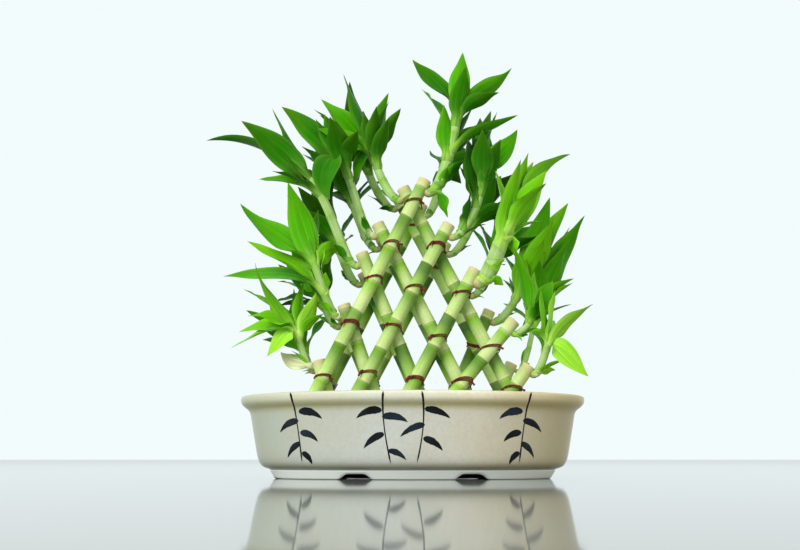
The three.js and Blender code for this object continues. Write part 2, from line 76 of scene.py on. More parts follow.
dish_low, dish_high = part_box("dish")
dish_middle = Vector(((dish_low.x + dish_high.x) / 2, (dish_low.y + dish_high.y) / 2, 0))

# Dish: how far the middle of its underside reaches, how far its foot stands in from the lip and how broad it
# is, how far the lip overhangs the wall, and the half length from which ovals are as much narrower than long
# as the lip is
BOSS_REACH = 62
FOOT_INSET = 25.7
FOOT_WIDTH = 8
LIP_OVERHANG = 6.4
OVAL_FROM = 80

# How far a notch in the foot is flat from its middle, and where it ends
NOTCH_FLAT = 5.5
NOTCH_END = 12.5

# Faces round the dish, the mound under the pebbles, a cane, a stem and a wire
DISH_SIDES = 288
BED_SIDES = 72
CANE_SIDES = 28
STEM_SIDES = 20
TIE_SIDES = 7

# Lattices: the height of the lowest ties, the height of the canes' feet in the pebbles, how far each lattice
# stands from the middle, how far its canes stand from its own plane, and the room above a tied crossing
TIE_LEVEL = 64
CANE_FOOT = 36
LATTICE_DEPTH = 28
CANE_SPREAD = 5.3
ROOM_ABOVE_CROSSING = 6

# Canes: where each centre line passes the height of the lowest ties, its lean in degrees, its cut top,
# and how green it is, from 0 for cream to 1 for deep green; the rear canes' high values are partly painted
# shade
CANES = {
    ("front", "rising"): (
        (-66, 26.8, 213, 0.2), (-36.5, 28.4, 180, 0.55), (-0.7, 28.7, 147, 0.45), (33, 40, 110, 0.2),
        (71.5, 36, 78, 0.3)),
    ("front", "falling"): (
        (68, -27.2, 210, 0.5), (35, -27, 183, 0.25), (2.8, -22.4, 161, 0.55), (-28.8, -19.5, 123, 0.3),
        (-61.8, -15.3, 83, 0.4)),
    ("rear", "rising"): (
        (-66, 26.8, 212, 0.8), (-35, 28, 181, 0.8), (0, 28, 148, 0.8), (33, 23.5, 127, 0.6),
        (66.5, 25, 86, 0.5)),
    ("rear", "falling"): (
        (66.5, -27.2, 215, 0.8), (35, -26.5, 183, 0.9), (2.8, -24, 155, 0.9), (-30, -22, 122, 0.9),
        (-63, -18, 84, 0.7)),
}

# Shoots: the tip from the root as right, up and away, the heading of the tip, the radius, how many leaves
# the rule adds, and the tone, from 0 for deep green to 4 for lime
Shoot = namedtuple("Shoot", "tip heading radius extra tone leaves")
# A leaf: place along the stem, heading, degrees away from the viewer, length, broadside, by how many
# degrees its tip curls on from its heading, and whether it has dried
Leaf = namedtuple("Leaf", "share heading depth length broadside curl dry", defaults=(0, False))
SHOOTS = {
    ("front", "falling"): (
        Shoot((-23, 44, 4), -10, 3.4, 2, 1.2, (
            Leaf(1, -20, 6, 62, 0.5), Leaf(0.95, 15, 12, 50, 0.6), Leaf(0.8, 31, -22, 42, 0.5),
            Leaf(0.9, -41, 10, 61, 0.8), Leaf(0.95, -155, -14, 32, 0.7), Leaf(1, -12, -12, 27, 0.5),
            Leaf(0.85, -66, -12, 46, 0.8))),
        Shoot((-27, 62, 0), -25, 3.3, 1, 1.3, (
            Leaf(1, -49, 4, 59, 0.9), Leaf(0.95, -164, -22, 42, 0.85, -26), Leaf(1, -34, -14, 33, 0.65),
            Leaf(1, 4, 8, 32, 0.6), Leaf(1, -20, 14, 40, 0.9), Leaf(0.9, 32, -16, 35, 0.7),
            Leaf(1, -173, -34, 58, 1, -46))),
        Shoot((-38, 66, -10), -42, 3.6, 0, 1.6, (
            Leaf(1, -53, -16, 60, 1), Leaf(0.95, -28, 10, 66, 0.4), Leaf(0.9, -64, 16, 98, 0, -14),
            Leaf(0.85, -73, -20, 35, 0.2), Leaf(0.88, -76, 24, 50, 0.5))),
        Shoot((-20, 41, -12), -22, 3.1, 1, 2.6, (
            Leaf(1, -18, -4, 58, 1), Leaf(1, -51, 4, 73, 0.85, 20), Leaf(0.62, -61, -8, 60, 0.45, 8),
            Leaf(0.6, -83, 12, 75, 0.6, 10), Leaf(0.5, 6, 0, 14, 0.6), Leaf(0.95, 46, 38, 38, 0.8),
            Leaf(1, 3, 20, 44, 0.4))),
        Shoot((-13, 30, -4), -15, 2.6, 0, 3.3, (
            Leaf(1, -33, -14, 53, 0.35, 22), Leaf(1, -54, 22, 54, 0.25), Leaf(1, -80, -16, 34, 0.75),
            Leaf(0.9, -90, 12, 43, 0.6), Leaf(0.95, -108, -8, 47, 0.4), Leaf(0.9, -136, -26, 30, 0.95),
            Leaf(1, 8, 14, 37, 0.5), Leaf(0.9, 27, -10, 31, 0.75, -22),
            Leaf(0.05, -64, -8, 24, 0.9, 28, True), Leaf(0.85, 52, -4, 24, 0.6))),
    ),
    ("front", "rising"): (
        Shoot((22, 66, -6), 2, 4.2, 0, 1.7, (
            Leaf(1, -41, 10, 50, 0.85, 12), Leaf(1, 7, 6, 42, 1), Leaf(0.85, 11, -22, 38, 0.95),
            Leaf(0.97, 51, 8, 54, 0.6, -25), Leaf(0.9, 66, -16, 35, 0.5), Leaf(0.6, 68, -8, 52, 0, -15),
            Leaf(0.5, -7, -18, 35, 0.95), Leaf(0.75, -30, 24, 50, 0.45), Leaf(0.2, 50, -8, 22, 0.5),
            Leaf(0.12, 14, 14, 20, 0.6), Leaf(0.08, 152, 10, 22, 0.5), Leaf(0.5, -18, 18, 28, 0.25))),
        Shoot((23, 54, 2), -12, 3.4, 1, 0.7, (
            Leaf(0.6, -12, -8, 44, 0.8), Leaf(0.55, -27, -12, 29, 0.5), Leaf(1, 11, 4, 55, 0.6),
            Leaf(1, 16, 14, 50, 0.2), Leaf(0.97, 41, -4, 40, 1, -18), Leaf(0.75, 22, -8, 38, 0.8),
            Leaf(1, -22, 8, 30, 0.7), Leaf(0.25, 8, -12, 26, 0.45), Leaf(1, 2, 30, 58, 0.9))),
        Shoot((25, 50, -10), 20, 6, 2, 3.1, (
            Leaf(0.8, 36, -8, 49, 0.95), Leaf(0.65, 13, -16, 57, 0.8), Leaf(0.9, 17, 2, 52, 0.5),
            Leaf(1, 24, 14, 46, 0.5), Leaf(0.95, 42, 20, 78, 0.5, 20), Leaf(0.7, 147, 18, 18, 0.55),
            Leaf(0.15, 118, -8, 14, 0.5))),
        Shoot((14, 14, -8), 5, 2.6, 2, 2.6, (
            Leaf(1, -17, -8, 14, 0.6), Leaf(1, 3, 4, 30, 0.45), Leaf(0.8, 24, -20, 18, 0.6))),
        Shoot((11, 24, -6), 10, 3, 0, 3.4, (
            Leaf(1, -11, -6, 38, 0.5), Leaf(1, 9, 6, 36, 0.3), Leaf(0.95, 50, -8, 41, 0.65),
            Leaf(0.95, 134, -18, 37, 0.95, -5), Leaf(0.1, 80, -10, 14, 0.5), Leaf(0.9, 24, 48, 34, 0.8),
            Leaf(0.85, -20, 56, 30, 0.8))),
    ),
    ("rear", "falling"): (
        Shoot((-30, 54, 4), -15, 3.4, 9, 0.4, ()),
        Shoot((-30, 60, 8), -25, 3.3, 8, 0.6, (Leaf(1, -8, 4, 46, 0.8),)),
        Shoot((-27, 48, 8), -30, 3.3, 8, 0.8, (Leaf(1, -14, 0, 44, 0.8),)),
        Shoot((-20, 32, 10), -30, 3, 9, 1.4, ()),
        Shoot((-14, 26, 6), -35, 2.6, 8, 2, ()),
    ),
    ("rear", "rising"): (
        Shoot((18, 52, 4), 12, 3.4, 0, 0.6, (
            Leaf(1, 52, -4, 40, 0.7), Leaf(1, 30, -8, 44, 0.3), Leaf(0.95, 18, 40, 44, 0.8),
            Leaf(0.9, 42, 50, 46, 0.8), Leaf(0.85, 66, 30, 36, 0.7), Leaf(0.8, 100, 62, 36, 0.8),
            Leaf(0.9, -30, 60, 40, 0.8))),
        Shoot((28, 44, 6), 20, 3.3, 8, 0.8, ()),
        Shoot((26, 44, 8), 25, 3.3, 9, 1, ()),
        Shoot((28, 36, 4), 22, 3.4, 8, 2.6, (Leaf(1, 17, -4, 67, 1), Leaf(1, 30, 8, 74, 0.7))),
        Shoot((21, 58, 4), 18, 2.2, 7, 2.5, (
            Leaf(1, 29, -4, 74, 0.85), Leaf(0.95, 56, 6, 34, 0.4), Leaf(1, 31, 12, 43, 0.2),
            Leaf(1, 24, 10, 67, 0.4))),
    ),
}

# Stems: how far below the cut a cane bears its shoot, and the same for the short cane after the long ones of
# a row, the gap between cane and stem, and how far a stem keeps its first and last direction, as shares of
# its reach
SHOOT_DROP = 8
SHORT_DROP = 4
LONG_CANES = 4
CLEARANCE = 0.3
ROOT_PULL = 0.15
TIP_PULL = 0.4

# How much a stem thins: all along it, at its neck above the root, and under the last leaves
STEM_TAPER = 0.15
NECK = 0.72
NECK_END = 0.22
HEAD_TAPER = 0.5
HEAD_START = 0.84

# The rule for leaves that no row names: angle from the stem and length at the foot and tip of the leafy
# part, where that part starts, how much lengths, angles and turns differ, and the turn from leaf to leaf
# and from shoot to shoot
FREE_SPREAD = (66, 20)
FREE_LENGTH = (36, 50)
FREE_START = 0.62
FREE_SIZES = (0.75, 0.4)
FREE_TILTS = 14
FREE_TURNS = 60
GOLDEN_ANGLE = 137.5
SHOOT_ANGLE = 77

# How far apart named leaves of one place have their roots, the turns that a crossing leaf is tried at, how
# many of them a named leaf gets before it may cross its own shoot's, and how much further others turn
ROOT_STEP = 0.007
DEPTH_TRIES = (0, -9, 9, -18, 18, -27, 27, -38, 38)
NAMED_TRIES = 3
RULE_TURN = 1.6
BRACT_TURN = 1.5

# Leaves that the rule adds to a shoot for fullness, where it adds any, and the small leaves at its foot: how
# many, the share of dry ones after the first, and their width for each unit of length
MORE_LEAVES = {"front": 1, "rear": 3}
BRACTS = 3
DRIED_BRACTS = 0.3
BRACT_SLIMNESS = 0.26

# The first small leaf, which is a husk, and the others: from and to of the place along the stem, of the turn
# round it, of the angle from it and of the length, and the width that each has besides
BRACT_SHAPES = (
    (((0.1, 0.16), (-25, 25), (14, 30), (14, 21)), 3),
    (((0.03, 0.2), (0, 360), (28, 60), (6, 13)), 2),
)

# Where streams of random numbers start, before the number of the cane, shoot or leaf is added
RING_SEEDS = {
    ("front", "rising"): 3, ("front", "falling"): 5, ("rear", "rising"): 93, ("rear", "falling"): 95,
}
TIE_SEEDS = {"front": 31, "rear": 47}
NAMED_TONE_SEED = 300
SKIN_SEED = 500
RULE_TONE_SEED = 700
RULE_SEED = 1000
STEM_SEED = 2000
NAMED_LEAF_SEED = 4000
RULE_LEAF_SEED = 6000
BRACT_LEAF_SEED = 8000
BRACT_SEED = 9000

# Leaf greens from deep to lime: blade, and the paler green of the sheath
LEAF_TONES = (
    ("leaf deep", (0.005, 0.075, 0.0005), (0.14, 0.32, 0.03)),
    ("leaf dark", (0.013, 0.150, 0.0005), (0.20, 0.41, 0.05)),
    ("leaf mid", (0.050, 0.315, 0.001), (0.30, 0.54, 0.07)),
    ("leaf fresh", (0.150, 0.515, 0.005), (0.39, 0.62, 0.10)),
    ("leaf lime", (0.290, 0.650, 0.035), (0.48, 0.69, 0.15)),
)
DRY_TONE = len(LEAF_TONES)
DRY_LEAF = ("leaf dry", (0.60, 0.62, 0.34), (0.66, 0.70, 0.44))
LEAF_TIP = (0.16, 0.13, 0.03)


# Numbers and curves


def seeded_draw(seed):
    """A repeatable stream of numbers from 0 to 1."""
    state = seed & 0xFFFFFFFF

    def draw():
        nonlocal state
        state = (state * 1664525 + 1013904223) & 0xFFFFFFFF
        return state / 4294967296

    return draw


def dealt(draw, least, more):
    """A number between least and more above it."""
    return least + more * draw()


def lerp(first, second, share):
    return first + (second - first) * share


def smooth_step(low, high, value):
    share = min(max((value - low) / (high - low), 0), 1)
    return share * share * (3 - 2 * share)


def sheet_side(u):
    """Whether a place round a closed sheet is on its top, and where across it lies, from -1 to 1."""
    top = u <= 0.5
    return top, (4 * u - 1 if top else 3 - 4 * u)


def bezier(corners, share):
    a, b, c, d = corners
    rest = 1 - share
    return a * rest**3 + b * (3 * rest * rest * share) + c * (3 * rest * share * share) + d * share**3


def bezier_slope(corners, share):
    a, b, c, d = corners
    rest = 1 - share
    return (b - a) * (3 * rest * rest) + (c - b) * (6 * rest * share) + (d - c) * (3 * share * share)


class Curve:
    """A cubic Bezier curve that is read by its share of the whole length."""

    def __init__(self, corners, steps=120):
        self.corners = corners
        points = [bezier(corners, step / steps) for step in range(steps + 1)]
        self.marks = [0]
        for first, second in zip(points, points[1:]):
            self.marks.append(self.marks[-1] + (second - first).length)
        self.length = self.marks[-1]

    def bend_at(self, share):
        wanted = min(max(share, 0), 1) * self.length
        steps = len(self.marks) - 1
        for step in range(steps):
            if self.marks[step + 1] >= wanted:
                span = self.marks[step + 1] - self.marks[step]
                return (step + (wanted - self.marks[step]) / span) / steps
        return 1

    def at(self, share):
        return bezier(self.corners, self.bend_at(share))

    def along(self, share):
        return bezier_slope(self.corners, self.bend_at(share)).normalized()


def rounded(corners, steps=4):
    """An outline of (x, y, radius) corners with each corner turned into a short curve."""
    outline = []
    for number, (x, y, radius) in enumerate(corners):
        corner = Vector((x, y))
        if radius == 0:
            outline.append(corner)
            continue
        before = Vector(corners[number - 1][:2]) - corner
        after = Vector(corners[number + 1][:2]) - corner
        start = corner + before * min(radius / before.length, 0.5)
        end = corner + after * min(radius / after.length, 0.5)
        for step in range(steps + 1):
            share = step / steps
            outline.append(start.lerp(corner, share).lerp(corner.lerp(end, share), share))
    return outline


# Meshes


def new_shape():
    shape = bmesh.new()
    shape.loops.layers.uv.new(SURFACE_MAP)
    return shape


def grid_row(shape, face, last):
    """Where a face of a grid with that many rows lies, before marks are written on its map."""
    layer = shape.loops.layers.uv.active
    middle = sum(loop[layer].uv.y for loop in face.loops) / len(face.loops)
    return middle * last


def shaped_grid(shape, across, along, place, material=0, mark=None):
    """Adds a grid of faces with each corner at place(u, v). Corners that meet are merged.

    material is a number, or gives one for each face. mark(v) rewrites the map's second number."""
    made = bmesh.ops.create_grid(
        shape, x_segments=across, y_segments=along, size=0.5, calc_uvs=True)["verts"]
    for vert in made:
        vert.co = place(round(vert.co.x + 0.5, 6), round(vert.co.y + 0.5, 6))
    faces = {face for vert in made for face in vert.link_faces}
    layer = shape.loops.layers.uv.active
    for face in faces:
        face.material_index = material(face) if callable(material) else material
        if mark:
            for loop in face.loops:
                loop[layer].uv.y = mark(loop[layer].uv.y)
    bmesh.ops.remove_doubles(shape, verts=made, dist=SAME_SPOT)


def two_sides(axis, hint):
    """Two directions square to an axis, the first as near to hint as can be."""
    first = (hint - axis * axis.dot(hint)).normalized()
    return first, axis.cross(first)


def add_tube(shape, points, radii, sides, material=0, hint=UP, mark=None, slant=None):
    """Adds a closed tube through points. Its ends close where their radius is 0.

    slant(row, angle) gives how far along the tube a corner of a row moves."""
    before, after = points[:1] + points, points[1:] + points[-1:]
    tangents = [(late - early).normalized() for early, late in zip(before, after)]
    firsts = [two_sides(tangents[0], hint)[0]]
    for tangent in tangents[1:]:
        firsts.append(two_sides(tangent, firsts[-1])[0])
    last = len(points) - 1

    def place(u, v):
        row = round(v * last)
        second = tangents[row].cross(firsts[row])
        angle = 2 * math.pi * u
        outward = firsts[row] * math.cos(angle) + second * math.sin(angle)
        moved = tangents[row] * slant(row, angle) if slant else Vector()
        return points[row] + outward * radii[row] + moved

    shaped_grid(shape, sides, last, place, material, mark)


def finish_piece(shape, name, materials, stands_for=(), sharp=None):
    """Turns a shape in millimetres into a piece in the frame that rides with the plant."""
    bmesh.ops.recalc_face_normals(shape, faces=shape.faces)
    for face in shape.faces:
        face.smooth = True
    if sharp:
        for edge in shape.edges:
            edge.smooth = edge.calc_face_angle(0) < sharp
    bmesh.ops.scale(shape, vec=(MM, MM, MM), verts=shape.verts)
    bmesh.ops.translate(shape, vec=dish_middle, verts=shape.verts)
    mesh = bpy.data.meshes.new(name)
    shape.to_mesh(mesh)
    shape.free()
    for material in materials:
        mesh.materials.append(material)
    piece = bpy.data.objects.new(name, mesh)
    bpy.context.scene.collection.objects.link(piece)
    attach(piece, "root")
    if stands_for:
        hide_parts(*stands_for)
    if not mesh.polygons:
        raise RuntimeError(f"{name} has no faces")
    return piece


# Materials


def put(tree, kind, inputs=None, **settings):
    """Adds a node. An input is a value or another node's output."""
    made = tree.nodes.new(kind)
    for name, value in settings.items():
        setattr(made, name, value)
    for name, value in (inputs or {}).items():
        if isinstance(value, bpy.types.NodeSocket):
            tree.links.new(value, made.inputs[name])
        else:
            made.inputs[name].default_value = value
    return made


def colour(value):
    return (*value[:3], 1)


def halfway(first, second):
    return tuple((one + other) / 2 for one, other in zip(first, second))


def mixed(tree, factor, first, second, blend="MIX"):
    """The colour output of a mix of two colours or outputs, whose sockets share names and so go by number."""
    inputs = {0: factor, 6: first, 7: second}
    return put(tree, "ShaderNodeMix", inputs, data_type="RGBA", blend_type=blend).outputs[2]


def worked(tree, operation, *values):
    node = put(tree, "ShaderNodeMath", dict(enumerate(values)), operation=operation)
    return node.outputs[0]


def remapped(tree, value, low, high, to_low=0, to_high=1):
    """A value taken from one range to another, and held within it."""
    inputs = {"Value": value, "From Min": low, "From Max": high, "To Min": to_low, "To Max": to_high}
    return put(tree, "ShaderNodeMapRange", inputs).outputs[0]


def ramp(tree, factor, stops):
    """The colour output of a ramp through (place, colour) stops."""
    node = put(tree, "ShaderNodeValToRGB", {0: factor})
    stripe = node.color_ramp.elements
    while len(stripe) < len(stops):
        stripe.new(0.5)
    for element, (place, shade) in zip(stripe, stops):
        element.position = place
        element.color = colour(shade)
    return node.outputs[0]


def surface_uv(tree):
    """The two numbers of the piece's own map: round or across, and along."""
    where = put(tree, "ShaderNodeUVMap", uv_map=SURFACE_MAP)
    parts = put(tree, "ShaderNodeSeparateXYZ", {0: where.outputs[0]})
    return parts.outputs[0], parts.outputs[1]


def new_group(name, inputs, outputs):
    """An empty shader group with sockets of (name, kind, default)."""
    tree = bpy.data.node_groups.new(name, "ShaderNodeTree")
    for label, kind, default in inputs:
        socket = tree.interface.new_socket(label, in_out="INPUT", socket_type=kind)
        socket.default_value = default
    for label, kind in outputs:
        tree.interface.new_socket(label, in_out="OUTPUT", socket_type=kind)
    return tree, put(tree, "NodeGroupInput").outputs, put(tree, "NodeGroupOutput").inputs


def mottle_group():
    """Soft blotches of a second colour over a first, on the object's own coordinates."""
    name = "Mottle"
    if name in bpy.data.node_groups:
        return bpy.data.node_groups[name]
    tree, given, result = new_group(
        name,
        (("Base", "NodeSocketColor", (1, 1, 1, 1)), ("Blotch", "NodeSocketColor", (0, 0, 0, 1)),
         ("Scale", "NodeSocketFloat", 60), ("Amount", "NodeSocketFloat", 0.5)),
        (("Color", "NodeSocketColor"), ("Mask", "NodeSocketFloat")),
    )
    where = put(tree, "ShaderNodeTexCoord").outputs["Object"]
    cloud = put(tree, "ShaderNodeTexNoise", {"Vector": where, "Scale": given["Scale"], "Detail": 4})
    spread = remapped(tree, cloud.outputs[0], 0.38, 0.66)
    mask = worked(tree, "MULTIPLY", spread, given["Amount"])
    tree.links.new(mixed(tree, mask, given["Base"], given["Blotch"]), result["Color"])
    tree.links.new(spread, result["Mask"])
    return tree


def grain_group():
    """Fine fibres that run along the piece's own map, as a value round 0.5."""
    name = "Long Grain"
    if name in bpy.data.node_groups:
        return bpy.data.node_groups[name]
    tree, given, result = new_group(
        name,
        (("Fibres", "NodeSocketFloat", 60), ("Breaks", "NodeSocketFloat", 2)),
        (("Value", "NodeSocketFloat"),),
    )
    across, along = surface_uv(tree)
    fine = put(tree, "ShaderNodeCombineXYZ", {
        0: worked(tree, "MULTIPLY", across, given["Fibres"]),
        1: worked(tree, "MULTIPLY", along, given["Breaks"]),
    })
    cloud = put(tree, "ShaderNodeTexNoise", {"Vector": fine.outputs[0], "Scale": 1, "Detail": 3})
    tree.links.new(cloud.outputs[0], result["Value"])
    return tree


def use_group(tree, group, **inputs):
    return put(tree, "ShaderNodeGroup", inputs, node_tree=group).outputs


def mottled(tree, base, blotch, scale, amount):
    """Blotches of a second colour over a base, which is a colour or another node's output."""
    if not isinstance(base, bpy.types.NodeSocket):
        base = colour(base)
    return use_group(tree, mottle_group(), Base=base, Blotch=colour(blotch), Scale=scale, Amount=amount)


def grained(tree, fibres, breaks):
    return use_group(tree, grain_group(), Fibres=fibres, Breaks=breaks)["Value"]


def streaked(tree, base, grain, darkest, lightest):
    """A base made darker and lighter along the grain."""
    return mixed(tree, 1, base, remapped(tree, grain, 0.3, 0.7, darkest, lightest), "MULTIPLY")


def attribute(tree, name):
    return put(tree, "ShaderNodeAttribute", attribute_name=name).outputs["Fac"]


def new_material(name, **sockets):
    """A material with a Principled shader, its plain sockets set."""
    material = bpy.data.materials.new(name)
    material.use_nodes = True
    shader = material.node_tree.nodes["Principled BSDF"]
    for label, value in sockets.items():
        shader.inputs[label.replace("_", " ")].default_value = value
    return material, material.node_tree, shader


def paint(tree, shader, shade):
    tree.links.new(shade, shader.inputs["Base Color"])


def bump(tree, shader, height, strength, distance):
    node = put(tree, "ShaderNodeBump", {"Height": height, "Strength": strength, "Distance": distance})
    tree.links.new(node.outputs[0], shader.inputs["Normal"])


def glaze_material(look):
    """Cream glaze with painted light: cool grey painted shade at the left end, a lighter painted sheen right
    of the middle, tan painted shade and reflection at the right end, soft tan blotches, yellowish painted
    shade under the lip, a paler painted-lit lip, brown painted shade in the groove above the foot, a white
    foot, and bare clay under the dish darkened as painted shade.
    """
    material, tree, shader = new_material(
        "cream glaze", Roughness=0.3, Specular_IOR_Level=0.35, Coat_Weight=0.35, Coat_Roughness=0.1)
    where = put(tree, "ShaderNodeTexCoord").outputs["Object"]
    x, y, z = put(tree, "ShaderNodeSeparateXYZ", {0: where}).outputs
    # Painted light across the dish: cool grey painted shade at the left end, a lighter painted sheen right of
    # the middle, and tan painted shade and reflection at the right end; the same tan also makes soft blotches
    # in the glaze
    sideways = remapped(tree, x, -look.rim_length / 2, look.rim_length / 2)
    between = tuple(lerp(cool, pale, 0.65) for cool, pale in zip(look.glaze_cool_shade, look.glaze))
    body = ramp(tree, sideways, (
        (0, look.glaze_cool_shade), (0.25, between), (0.5, look.glaze), (0.7, look.glaze_painted_sheen),
        (1, look.glaze_tan_and_shade)))
    cloud = mottled(tree, body, look.glaze_tan_and_shade, scale=22, amount=0.2)
    specks = mottled(tree, cloud["Color"], (0.42, 0.38, 0.27), scale=420, amount=0.16)
    # Painted light in bands up the dish, as shares of the plain wall: brown and tan painted shade in the
    # groove above the foot, yellowish painted shade under the lip, and a paler painted-lit lip
    wall, under_lip_shade, lip = (0.8, 0.8, 0.8), (0.86, 0.80, 0.54), (1, 0.97, 0.87)
    brown, tan = (0.36, 0.35, 0.27), (0.56, 0.54, 0.45)
    painted_light_bands = ramp(tree, worked(tree, "DIVIDE", z, look.rim_height), (
        (0, wall), (0.105, wall), (0.118, brown), (0.14, tan), (0.21, wall), (0.77, wall), (0.83, under_lip_shade),
        (0.87, under_lip_shade), (0.915, lip), (1, lip)))
    glazed = mixed(tree, 1, specks["Color"], painted_light_bands, "MULTIPLY")
    foot = worked(tree, "LESS_THAN", z, look.foot_height * 0.96)
    footed = mixed(tree, foot, glazed, colour(look.foot))
    # Under the dish the bare clay is darkened as painted shade, so the notches look dark inside
    under = worked(tree, "MULTIPLY", in_recess(tree, x, y, look), foot)
    paint(tree, shader, mixed(tree, under, footed, colour(look.clay)))
    ripple = put(tree, "ShaderNodeTexNoise", {"Vector": where, "Scale": 90, "Detail": 2})
    bump(tree, shader, ripple.outputs[0], 0.12, 0.0004)
    return material


def in_recess(tree, x, y, look):
    """1 inside the oval of the dish's foot and 0 elsewhere."""
    recess = look.rim_length / 2 / MM - FOOT_INSET - FOOT_WIDTH
    lengthwise = worked(tree, "DIVIDE", x, recess * MM)
    across = worked(tree, "DIVIDE", y, oval_width(recess, look) * MM)
    squares = [worked(tree, "MULTIPLY", part, part) for part in (lengthwise, across)]
    return worked(tree, "LESS_THAN", worked(tree, "ADD", *squares), 1)


def brush_material(look):
    """Blue-black brush glaze, thin and slate blue where the brush was wet."""
    material, tree, shader = new_material("brush glaze", Roughness=0.4, Specular_IOR_Level=0.2)
    paint(tree, shader, mottled(tree, look.brush, look.brush_wet, scale=45, amount=0.75)["Color"])
    return material


def pebble_material(name, base, blotch):
    material, tree, shader = new_material(name, Roughness=0.55)
    stone = mottled(tree, base, blotch, scale=260, amount=0.8)
    paint(tree, shader, stone["Color"])
    bump(tree, shader, stone["Mask"], 0.25, 0.0003)
    return material


def banded_colours(tree, pale, deep, greenness=0.5):
    """Colours along each internode, pale or deep by how green the cane is, partly painted shade on the rear
    canes, and by the mark's whole number.
    """
    mark = surface_uv(tree)[1]
    share = worked(tree, "FRACT", mark)
    number = worked(tree, "FLOOR", mark)
    chance = put(tree, "ShaderNodeTexWhiteNoise", {"W": number}, noise_dimensions="1D").outputs[0]
    depth = remapped(tree, worked(tree, "ADD", chance, greenness), 0.5, 1.5)
    return mixed(tree, depth, ramp(tree, share, pale), ramp(tree, share, deep))


def cane_material(look):
    """Cane skin: cream just above each ring, deepest green just below the next, and tan near the cut."""
    material, tree, shader = new_material("cane skin", Roughness=0.34, Specular_IOR_Level=0.1)
    cream, fresh, deep, scar = look.cream, look.fresh, look.deep, look.scar
    middle, faint = halfway(cream, fresh), halfway(cream, scar)
    # The rear canes' deeper green is partly painted shade
    banded = banded_colours(
        tree,
        ((0, faint), (0.03, cream), (0.4, cream), (0.66, middle), (0.9, fresh), (0.985, middle), (1, faint)),
        ((0, scar), (0.03, cream), (0.12, middle), (0.32, fresh), (0.74, deep), (0.985, deep), (1, scar)),
        attribute(tree, GREENNESS_AND_SHADE))
    fibres = grained(tree, 26, 0.7)
    blotched = mottled(tree, streaked(tree, banded, fibres, 0.88, 1.08), look.bloom, scale=48, amount=0.12)
    spotted = mottled(tree, blotched["Color"], (0.26, 0.2, 0.07), scale=600, amount=0.12)
    paint(tree, shader, mixed(tree, attribute(tree, NEAR_CUT), spotted["Color"], colour(look.dried)))
    bump(tree, shader, fibres, 0.12, 0.0001)
    return material


def cut_material():
    """The cut top of a cane: beige pith with a darker rim."""
    material, tree, shader = new_material("cane cut", Roughness=0.7)
    mark = surface_uv(tree)[1]
    rim, edge, pith, core = (0.22, 0.13, 0.05), (0.5, 0.42, 0.2), (0.62, 0.55, 0.3), (0.48, 0.42, 0.2)
    rings = ramp(tree, worked(tree, "FRACT", mark), ((0, rim), (0.25, edge), (0.6, pith), (1, core)))
    pores = mottled(tree, rings, (0.3, 0.2, 0.09), scale=900, amount=0.5)
    paint(tree, shader, pores["Color"])
    bump(tree, shader, pores["Mask"], 0.3, 0.0002)
    return material


def wire_material(look):
    """Maroon coated wire, darker in patches."""
    material, tree, shader = new_material("tie wire", Roughness=0.5, Specular_IOR_Level=0.3)
    paint(tree, shader, mottled(tree, look.coat, look.wire_dark_patch, scale=480, amount=1)["Color"])
    return material


def stem_material(look):
    """Stem skin made of old sheaths: whitish green above each ring, brown at the ring."""
    material, tree, shader = new_material("stem skin", Roughness=0.42, Specular_IOR_Level=0.25)
    milk, green = look.stem_milk, look.stem_green
    middle, scar = halfway(milk, green), halfway(look.stem_scar, milk)
    banded = banded_colours(
        tree,
        ((0, scar), (0.02, middle), (0.3, milk), (0.7, milk), (0.97, middle), (1, scar)),
        ((0, scar), (0.02, middle), (0.4, milk), (0.75, middle), (0.97, green), (1, scar)))
    fibres = grained(tree, 22, 0.5)
    paint(tree, shader, streaked(tree, banded, fibres, 0.8, 1.12))
    bump(tree, shader, fibres, 0.3, 0.00012)
    return material


def collar_material(look):
    """The knot where a shoot leaves its cane."""
    material, tree, shader = new_material("shoot collar", Roughness=0.6, Specular_IOR_Level=0.2)
    knot = mottled(tree, look.collar, look.stem_scar, scale=330, amount=0.6)
    paint(tree, shader, knot["Color"])
    bump(tree, shader, knot["Mask"], 0.4, 0.0002)
    return material


def leaf_material(name, blade, sheath, look):
    """A leaf: pale sheath, then blade with fine veins, a paler rim, painted shade along its middle fold,
    yellowing patches and a darker tip.
    """
    material, tree, shader = new_material(name, Roughness=0.38, Specular_IOR_Level=0.04)
    across, along = surface_uv(tree)
    dark = tuple(0.8 * part for part in blade)
    bright = tuple(0.84 * part + 0.16 * pale for part, pale in zip(blade, sheath))
    milky = halfway(look.stem_milk, sheath)
    body = ramp(tree, along, (
        (0, milky), (0.13, sheath), (0.34, bright), (0.55, blade), (0.95, dark), (1, LEAF_TIP)))
    folded = worked(tree, "ABSOLUTE", worked(tree, "SUBTRACT", worked(tree, "MULTIPLY", across, 4), 2))
    from_middle = worked(tree, "ABSOLUTE", worked(tree, "SUBTRACT", folded, 1))
    rim = worked(tree, "MULTIPLY", worked(tree, "POWER", from_middle, 7), 0.4)
    rimmed = mixed(tree, rim, body, colour(sheath))
    veins = grained(tree, 38, 1.2)
    veined = streaked(tree, rimmed, veins, 0.62, 1.3)
    # Painted shade along the middle fold of the leaf
    fold_shaded = mixed(tree, remapped(tree, from_middle, 0, 0.1, 0.6, 0), veined, colour(dark))
    patched = mottled(tree, fold_shaded, bright, scale=38, amount=0.4)
    outer = remapped(tree, along, 0.45, 0.95, 0, 0.16)
    yellowed = mottled(tree, patched["Color"], look.yellowing, scale=21, amount=outer)
    paint(tree, shader, yellowed["Color"])
    bump(tree, shader, veins, 0.25, 0.00012)
    return material


# The dish


